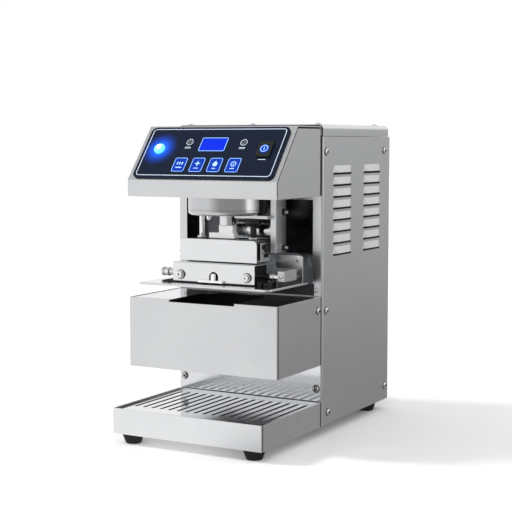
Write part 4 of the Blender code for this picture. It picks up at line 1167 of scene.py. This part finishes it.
def hanger():
    """Folded bracket with its roller, the bush under the shelf and two bolts."""
    dress("hanger_bracket", "steel_z", 0.0006, 3)
    low, high = LOW["hanger_bracket"], HIGH["hanger_bracket"]
    for number, z in enumerate((high.z - 0.0200, low.z + 0.0065), start=1):
        at = Vector((high.x, MIDDLE["hanger_bracket"].y + 0.009, z))
        washer("hanger_washer_%d" % number, at, "x", "hanger_bracket", outer=0.0052)
        nut_at = at + Vector((0.0008, 0, 0))
        hexagon("hanger_nut_%d" % number, nut_at, "x", 0.0070, 0.0030, "hanger_bracket",
            "black_oxide")
        stud = [(0, 0.0030), (0.0021, 0.0030), (0.0021, 0.0062), (0.0016, 0.0068), (0, 0.0068)]
        turned("hanger_stud_%d" % number, stud, nut_at, "chrome", "hanger_bracket", "x", (), 24, 0)
    low_x = LOW["film_roller"].x
    radius = (HIGH["film_roller"].z - LOW["film_roller"].z) / 2
    length = HIGH["film_roller"].x - low_x
    turned("film_roller_body", tube(0.0034, radius, 0, length),
        (low_x, MIDDLE["film_roller"].y, MIDDLE["film_roller"].z), "polished", "film_roller", "x",
        ("film_roller",), 96, 0.0012)
    bush_low, bush_high = LOW["guide_bush"].z, HIGH["guide_bush"].z
    bush = [(0.0046, bush_low), (0.0074, bush_low), (0.0080, bush_low + 0.0014),
        (0.0109, bush_low + 0.0034), (0.0109, bush_high), (0.0046, bush_high)]
    turned("guide_bush_body", bush, (ROD_X, PRESS.y, 0), "black_plastic", "guide_bush", "z",
        ("guide_bush",), 72, 0.0005)


# ---------------------------------------------------------------- jaw and table
def arched(low_x, high_x, low_z, high_z, steps=16):
    radius = (high_x - low_x) / 2
    return [(low_x, low_z), (high_x, low_z), *arc(((low_x + high_x) / 2, high_z - radius), radius,
        0, 180, steps)]


def table():
    low, high, neck = LOW["table_plate"], HIGH["table_plate"], 0.060
    back = FRONT_Y - 0.013
    outline = rounded([(low.x, low.y), (high.x, low.y), (high.x, back), (neck, back),
        (neck, high.y), (-neck, high.y), (-neck, back), (low.x, back)],
        [0.0012, 0.009, 0.002, 0, 0, 0, 0, 0.002], 8)
    plate("table_plate_sheet", outline, "z", low.z, high.z, "mirror", "table_plate",
        hides=("table_plate",), bevel=0.0006, segments=3)
    dress("rubber_strip", "rubber", 0.0002)
    # Black plate between the box top and the table: painted shade in the gap under the table.
    block("table_shade_plate", (-0.0985, FRONT_Y - 0.0010, HIGH["cup_box"].z + SEAM),
        (0.0985, FRONT_Y - SEAM, low.z - SEAM), "black_oxide", "table_plate", bevel=0.0002)


def lower_jaw():
    low, high = LOW["clamp_cover"], HIGH["clamp_cover"]
    notch = arched(-0.0062, 0.0075, low.z - 0.002, low.z + 0.0138)
    folded_cover("clamp_cover_sheet", "clamp_cover", notch, "polished")
    dress("clamp_block", "black_oxide", 0.0004)
    dress("sensor_post", "white_plastic", 0.0004)
    for number, x in enumerate((-0.0490, 0.0503), start=1):
        at = Vector((x, low.y, low.z + 0.0085))
        washer("jaw_washer_%d" % number, at, "-y", "clamp_cover", outer=0.0064, look="black_oxide")
        washer("jaw_spring_washer_%d" % number, at + Vector((0, -0.0008, 0)), "-y", "clamp_cover",
            outer=0.0055, thick=0.0009)
        screw("jaw_screw_%d" % number, "cap", at + Vector((0, -0.0017, 0)), "-y", "clamp_cover",
            "chrome", 8 * number, size=1.08)
    cross_shaft()
    right_arm()


def cross_shaft():
    """Shaft with a ribbed hand knob on the left and a set collar on the right."""
    node = "draw_shaft"
    at = (0, MIDDLE[node].y, MIDDLE[node].z)
    end, root, jaw, radius = LOW[node].x, -0.080, 0.0625, 0.0029
    knob = [(0, end), (0.0036, end), (0.0052, end + 0.0010), (0.0060, end + 0.0026),
        (0.0060, end + 0.0055), (0.0052, end + 0.0062), (0.0052, end + 0.0070),
        (0.0058, end + 0.0076), (0.0058, root - 0.0016), (0.0046, root - 0.0006), (0.0046, -jaw),
        (radius, -jaw)]
    neck = 0.0044
    collar = [(radius, 0.0630), (neck, 0.0630), (neck, 0.0700), (0.0048, 0.0700), (0.0055, 0.0708),
        (0.0055, 0.0764), (0.0050, 0.0767), (0.0050, 0.0775), (0.0055, 0.0778), (0.0055, 0.0850),
        (0.0048, 0.0857), (radius, 0.0857), (radius, HIGH[node].x), (0, HIGH[node].x)]
    turned("draw_shaft_body", knob + collar, at, "turned", node, "x", (node,), 56, 0.0002)
    bm = bmesh.new()
    place = Matrix.Translation((0.0816, at[1], at[2])) @ Matrix.Rotation(-0.5, 4, "X")
    add_turned(bm, tube(0, 0.0012, 0.0050, 0.0056), place.translation, place, 16)
    piece("collar_set_screw", bm, "black_oxide", node)


def right_arm():
    dress("arm_rail", "black_oxide", 0.0004)
    dress("arm_block", "aluminium", 0.0005, 3)
    node = "stay_bracket"
    low, high = LOW[node], HIGH[node]
    knee, leg = low.z + 0.0182, 0.0850
    outline = rounded([(leg, low.z), (high.x, low.z), (high.x, high.z), (low.x, high.z),
        (low.x, knee), (leg, knee)], [0.0004, 0.0004, 0.0035, 0.0015, 0.0015, 0.002], 6)
    plate("stay_bracket_sheet", outline, "y", low.y, high.y, "steel_x", node,
        [circle((0.0920, low.z + 0.0082), 0.0022, 28)], (node,), bevel=0.0003)
    at = Vector((0.0918, low.y, high.z - 0.0050))
    washer("stay_washer", at, "-y", node, outer=0.0042)
    screw("stay_screw", "small_pan", at + Vector((0, -0.0008, 0)), "-y", node, "zinc", 30)
    arm = Vector((MIDDLE["arm_block"].x, LOW["arm_block"].y, MIDDLE["arm_block"].z))
    screw("arm_screw", "small_pan", arm, "-y", "arm_block", "zinc", 15)
    table_top = HIGH["table_plate"].z
    for number, (x0, x1, y0, y1, h) in enumerate(((0.0625, 0.0690, 0.090, 0.070, 0.0060),
            (0.0705, 0.0760, 0.088, 0.0768, 0.0045), (0.0775, 0.0840, 0.090, 0.0768, 0.0060)),
            start=1):
        block("guide_shoe_%d" % number, (x0, FRONT_Y - y0, table_top),
            (x1, FRONT_Y - y1, table_top + h), "black_plastic", "table_plate", bevel=0.0006)


# ---------------------------------------------------------------- box, tray and feet
SEAM_AT, SEAM_WIDE, SEAM_DEEP = 0.0017, 0.0024, 0.0009


def seam_lines(name, low, high, node):
    """Dark joint behind the folded front of a sheet box, on both sides."""
    clear, end, bottom, thick = 0.0001, 0.0006, 0.00005, 0.0004
    for side, tag in SIDES:
        x0, x1 = slab(side, BODY_X - SEAM_DEEP + bottom, BODY_X - SEAM_DEEP + thick)
        block(name + "_seam_" + tag, (x0, low.y + SEAM_AT + clear, low.z + end),
            (x1, low.y + SEAM_AT + SEAM_WIDE - clear, high.z - end), "black_inside", node,
            bevel=0.0001)


def gaskets(name, low_z, high_z, rear, node):
    """Black strip in the joint between a sheet housing and the column, on both sides."""
    clear, wide = 0.0001, 0.0040
    for side, tag in SIDES:
        x0, x1 = slab(side, BODY_X - wide, BODY_X - SEAM)
        block(name + "_gasket_" + tag, (x0, rear + clear, low_z), (x1, FRONT_Y - clear, high_z),
            "rubber", node, bevel=0.0002)


def folded_front(low, high, rear):
    """Plan of a sheet front: round corners, and a dark seam where it laps over each side."""
    corner, seam_at, seam, depth = 0.0012, SEAM_AT, SEAM_WIDE, SEAM_DEEP
    near, far = low.y + seam_at, low.y + seam_at + seam
    left = [(low.x, rear), (low.x, far), (low.x + depth, far), (low.x + depth, near), (low.x, near)]
    front = rounded([(low.x, near), (low.x, low.y), (high.x, low.y), (high.x, near)],
        [0, corner, corner, 0], 5)
    right = [(high.x - depth, near), (high.x - depth, far), (high.x, far), (high.x, rear)]
    return left + front[1:-1] + [(high.x, near)] + right


def cup_box():
    """Open sheet box with a polished lid, a U-shaped cup opening and a black liner inside that paints
    the shade in the box.
    """
    low, high = LOW["cup_box"], HIGH["cup_box"]
    rear, notch, notch_z = high.y - BOX_GAP, 0.0484, high.z - 0.0032
    outer = folded_front(low, high, rear)
    inner = [(high.x - SHEET, rear), (high.x - SHEET, low.y + SHEET),
        (low.x + SHEET, low.y + SHEET), (low.x + SHEET, rear)]
    shell = plate("cup_box_shell", outer + inner, "z", low.z, high.z, "steel_x", "cup_box",
        hides=("cup_box",))
    shell.modifiers.clear()
    tool = bmesh.new()
    add_plate(tool, rectangle((-notch, notch_z), (notch, high.z + 0.002)), "y", low.y - 0.002,
        low.y + 0.004)
    carve(shell, tool)
    add_bevel(shell, 0.0003, 2, 30)
    seam_lines("cup_box", low, high, "cup_box")
    gaskets("cup_box", low.z + 0.0006, high.z - 0.0006, rear, "cup_box")
    radius, edge = 0.0485, SHEET + 0.0005
    slot = [(radius, low.y + edge), *arc((0, PRESS.y), radius, 0, 180, 64), (-radius, low.y + edge)]
    outline = [(low.x + edge, low.y + edge), *reversed(slot), (high.x - edge, low.y + edge),
        (high.x - edge, rear), (low.x + edge, rear)]
    plate("cup_box_lid", outline, "z", high.z - SHEET - 0.0006, high.z - 0.0006, "mirror",
        "cup_box", bevel=0.0003)
    # Black liner inside the box: painted shade for the unlit inside seen through the cup opening.
    bm = bmesh.new()
    wall, inset = 0.0008, SHEET + 0.0004
    outer = rectangle((low.x + inset, low.y + inset), (high.x - inset, rear - 0.0005))
    inner = rectangle((low.x + inset + wall, low.y + inset + wall),
        (high.x - inset - wall, rear - 0.0005 - wall))
    add_plate(bm, outer, "z", low.z + 0.034, notch_z - 0.0004, [inner])
    piece("cup_box_shade_liner", bm, "black_inside", "cup_box", bevel=0.0002)
    hem = 0.0150
    mouth = rectangle((low.x + hem, low.y + hem), (high.x - hem, rear - hem))
    plate("cup_box_hem", outer, "z", low.z + 0.0002, low.z + 0.0014, "satin", "cup_box", [mouth],
        bevel=0.0002)
    for side, heading, tag in ((-1, "-x", "left"), (1, "+x", "right")):
        screw("box_screw_" + tag, "pan", (side * BODY_X, FRONT_Y - 0.0111, 0.1695), heading,
            "cup_box", "chrome", 15)


def drip_tray():
    low, high = LOW["tray_body"].copy(), HIGH["tray_body"].copy()
    high.y -= BOX_GAP
    ledge_z = LOW["drip_grille"].z - 0.0003
    bm = bmesh.new()
    outer = folded_front(low, high, high.y)
    inner = rectangle((low.x + SHEET, low.y + SHEET), (high.x - SHEET, high.y - SHEET))
    ledge = 0.004
    mouth = rectangle((low.x + ledge, low.y + ledge), (high.x - ledge, high.y - ledge))
    add_plate(bm, outer, "z", low.z, high.z, [inner])
    add_plate(bm, inner, "z", ledge_z - SHEET, ledge_z, [mouth])
    add_plate(bm, inner, "z", low.z, low.z + SHEET)
    # The tray's lighter steel is painted light.
    piece("tray_body_sheet", bm, "tray_steel_painted_light", "tray_body", ("tray_body",), bevel=0.0004,
        segments=3)
    seam_lines("tray", low, high, "tray_body")
    gaskets("tray", low.z + 0.0006, high.z - 0.0006, high.y, "tray_body")
    grille()


def grille():
    low, high = LOW["drip_grille"], HIGH["drip_grille"]
    count, pitch, width = 16, 0.01295, 0.0048
    slots = []
    for i in range(count):
        x = (i - (count - 1) / 2) * pitch
        slots.append(rounded(rectangle((x - width / 2, FRONT_Y - 0.130),
            (x + width / 2, FRONT_Y - 0.016)), width / 2 - 0.0001, 7))
    outline = rounded(rectangle((low.x, low.y), (high.x, high.y)), 0.004, 6)
    plate("drip_grille_plate", outline, "z", low.z, high.z, "polished", "drip_grille", slots,
        ("drip_grille",), bevel=0.00045, segments=3)


def feet():
    for tag in ("front_left", "front_right", "rear_left", "rear_right"):
        node = "foot_" + tag
        top = HIGH[node].z
        profile = [(0, 0), (0.0092, 0), (0.0103, 0.0009), (0.0136, top - 0.0034),
            (0.0142, top - 0.0024), (0.0142, top), (0, top)]
        turned(node + "_body", profile, (MIDDLE[node].x, MIDDLE[node].y, 0), "rubber", node, "z",
            (node,), 64, 0.0006)


# ---------------------------------------------------------------- studio
CAMERA_AT = Vector((0.84656, -1.52219, 0.39001))
CAMERA_YAW, CAMERA_PITCH, LENS = math.radians(29.21), math.radians(-5.13), 89.88


def camera():
    data = bpy.data.cameras.new("camera")
    data.lens = LENS
    data.sensor_width = 36.0
    data.clip_end = 50.0
    eye = placed("camera", data)
    eye.location = CAMERA_AT
    eye.rotation_euler = (math.pi / 2 + CAMERA_PITCH, 0, CAMERA_YAW)
    bpy.context.scene.camera = eye


def facing(tree, vector, bearing):
    """How far a direction points towards a bearing, from -1 to 1."""
    dot = add_node(tree, "VectorMath", {1: bearing}, operation="DOT_PRODUCT")
    link(tree, vector, dot.inputs[0])
    return dot.outputs["Value"]


def grey(tree, level):
    tone = add_node(tree, "CombineColor")
    for socket in tone.inputs[:3]:
        link(tree, level, socket)
    return tone


def choose(tree, amount, first, second):
    """Mix two shaders."""
    mix = add_node(tree, "MixShader")
    for socket, source in zip(mix.inputs, (amount, first, second)):
        link(tree, source, socket)
    return mix


def glow_by_bearing(tree, bearing):
    """Studio brightness towards a level bearing: dim at the front right, with one bright strip."""
    room = ranged(tree, facing(tree, bearing, DIM_BEARING), BRIGHT, DIM, 0.36, 0.86)
    strip = ranged(tree, facing(tree, bearing, STRIP_BEARING), 0.0, 1.0, 0.945, 0.985)
    return mix_values(tree, strip, room, STRIP_POWER)


def mix_values(tree, amount, first, second):
    mix = add_node(tree, "Mix", data_type="FLOAT")
    for socket, value in ((mix.inputs[0], amount), (mix.inputs[2], first), (mix.inputs[3], second)):
        if isinstance(value, bpy.types.NodeSocket):
            link(tree, value, socket)
        else:
            socket.default_value = value
    return mix.outputs[0]


def flattened(tree, vector):
    """A direction with its height taken out, one unit long."""
    level = add_node(tree, "VectorMath", {1: (1, 1, 0)}, operation="MULTIPLY")
    link(tree, vector, level.inputs[0])
    unit = add_node(tree, "VectorMath", operation="NORMALIZE")
    link(tree, level, unit.inputs[0])
    return unit.outputs[0]


BRIGHT, DIM, OVERHEAD, SKIRTING = 1.0, 0.40, 0.64, 0.42
BACK_BEARING = (0.60, 0.80, 0.0)
DIM_BEARING = (0.64, -0.77, 0.0)
STRIP_BEARING, STRIP_POWER = (0.982, 0.188, 0.0), 1.6
FLOOR_NEAR, FLOOR_FAR, AMBIENT = 0.28, 0.44, 0.86


def world():
    """Studio surround: a bright room, dimmer overhead and front right, with one light strip."""
    made = bpy.data.worlds.new("studio")
    bpy.context.scene.world = made
    made.use_nodes = True
    tree = made.node_tree
    tree.nodes.clear()
    place = add_node(tree, "TexCoord").outputs["Generated"]
    bearing = flattened(tree, place)
    split = add_node(tree, "SeparateXYZ")
    link(tree, place, split.inputs[0])
    height = split.outputs[2]
    low = add_node(tree, "Math", operation="MULTIPLY")
    link(tree, ranged(tree, height, 1.0, 0.0, 0.02, 0.26), low.inputs[0])
    link(tree, ranged(tree, facing(tree, bearing, BACK_BEARING), 0.0, 1.0, 0.55, 0.85),
        low.inputs[1])
    around = mix_values(tree, low.outputs[0], glow_by_bearing(tree, bearing), SKIRTING)
    level = mix_values(tree, ranged(tree, height, 0.0, 1.0, 0.42, 0.72), around, OVERHEAD)
    surround = add_node(tree, "Background", {"Strength": 1.0})
    link(tree, grey(tree, level), surround.inputs[0])
    backdrop, ambient = [add_node(tree, "Background", {"Color": (1, 1, 1, 1), "Strength": power})
        for power in (1.0, AMBIENT)]
    path = add_node(tree, "LightPath").outputs
    soft = choose(tree, path["Is Diffuse Ray"], surround, ambient)
    mix = choose(tree, path["Is Camera Ray"], soft, backdrop)
    link(tree, mix, add_node(tree, "OutputWorld").inputs[0])


def floor():
    """Pale floor; in reflections it is bright on the left and dark close by on the right."""
    bm = bmesh.new()
    bmesh.ops.create_grid(bm, x_segments=1, y_segments=1, size=12.0)
    material = bpy.data.materials.new("pale_floor")
    material.use_nodes = True
    tree = material.node_tree
    shader = tree.nodes["Principled BSDF"]
    for key, value in (("Base Color", (0.93, 0.93, 0.93, 1)), ("Roughness", 0.8),
            ("Specular IOR Level", 0.0)):
        shader.inputs[key].default_value = value
    place = add_node(tree, "TexCoord").outputs["Object"]
    length = add_node(tree, "VectorMath", operation="LENGTH")
    link(tree, place, length.inputs[0])
    away = length.outputs["Value"]
    dark = ranged(tree, away, FLOOR_NEAR, FLOOR_FAR, 0.3, 4.0)
    bearing = flattened(tree, place)
    right = ranged(tree, facing(tree, bearing, (0.94, 0.34, 0.0)), 0.0, 1.0, -0.35, 0.25)
    near = mix_values(tree, right, BRIGHT, dark)
    behind = ranged(tree, facing(tree, bearing, BACK_BEARING), 0.0, 1.0, 0.72, 0.95)
    beyond = mix_values(tree, behind, glow_by_bearing(tree, bearing), dark)
    level = mix_values(tree, ranged(tree, away, 0.0, 1.0, 1.2, 3.0), near, beyond)
    seen = add_node(tree, "Emission", {"Strength": 1.0})
    link(tree, grey(tree, level), seen.inputs[0])
    path = add_node(tree, "LightPath").outputs
    mix = choose(tree, path["Is Glossy Ray"], shader, seen)
    link(tree, mix, tree.nodes["Material Output"].inputs[0])
    mesh = mesh_of("studio_floor", bm)
    mesh.materials.append(material)
    placed("studio_floor", mesh)


def sun(name, towards, power, spread_deg):
    """Distant soft light that lights matt surfaces only; reflections come from the surround."""
    data = bpy.data.lights.new(name, "SUN")
    data.energy = power
    data.angle = math.radians(spread_deg)
    lamp = placed(name, data)
    lamp.rotation_euler = Vector(towards).to_track_quat("Z", "Y").to_euler()
    lamp.visible_glossy = False


def studio():
    camera()
    world()
    floor()
    sun("key", (-0.85, -0.28, 0.70), 1.4, 10)
    sun("fill", (0.30, -0.85, 0.30), 1.0, 25)
    scene = bpy.context.scene
    scene.view_settings.view_transform = "Standard"
    scene.view_settings.look = "None"


# ---------------------------------------------------------------- everything
column()
hood()
press_drive()
press_head()
hanger()
table()
lower_jaw()
cup_box()
drip_tray()
feet()
studio()
bpy.context.view_layer.update()
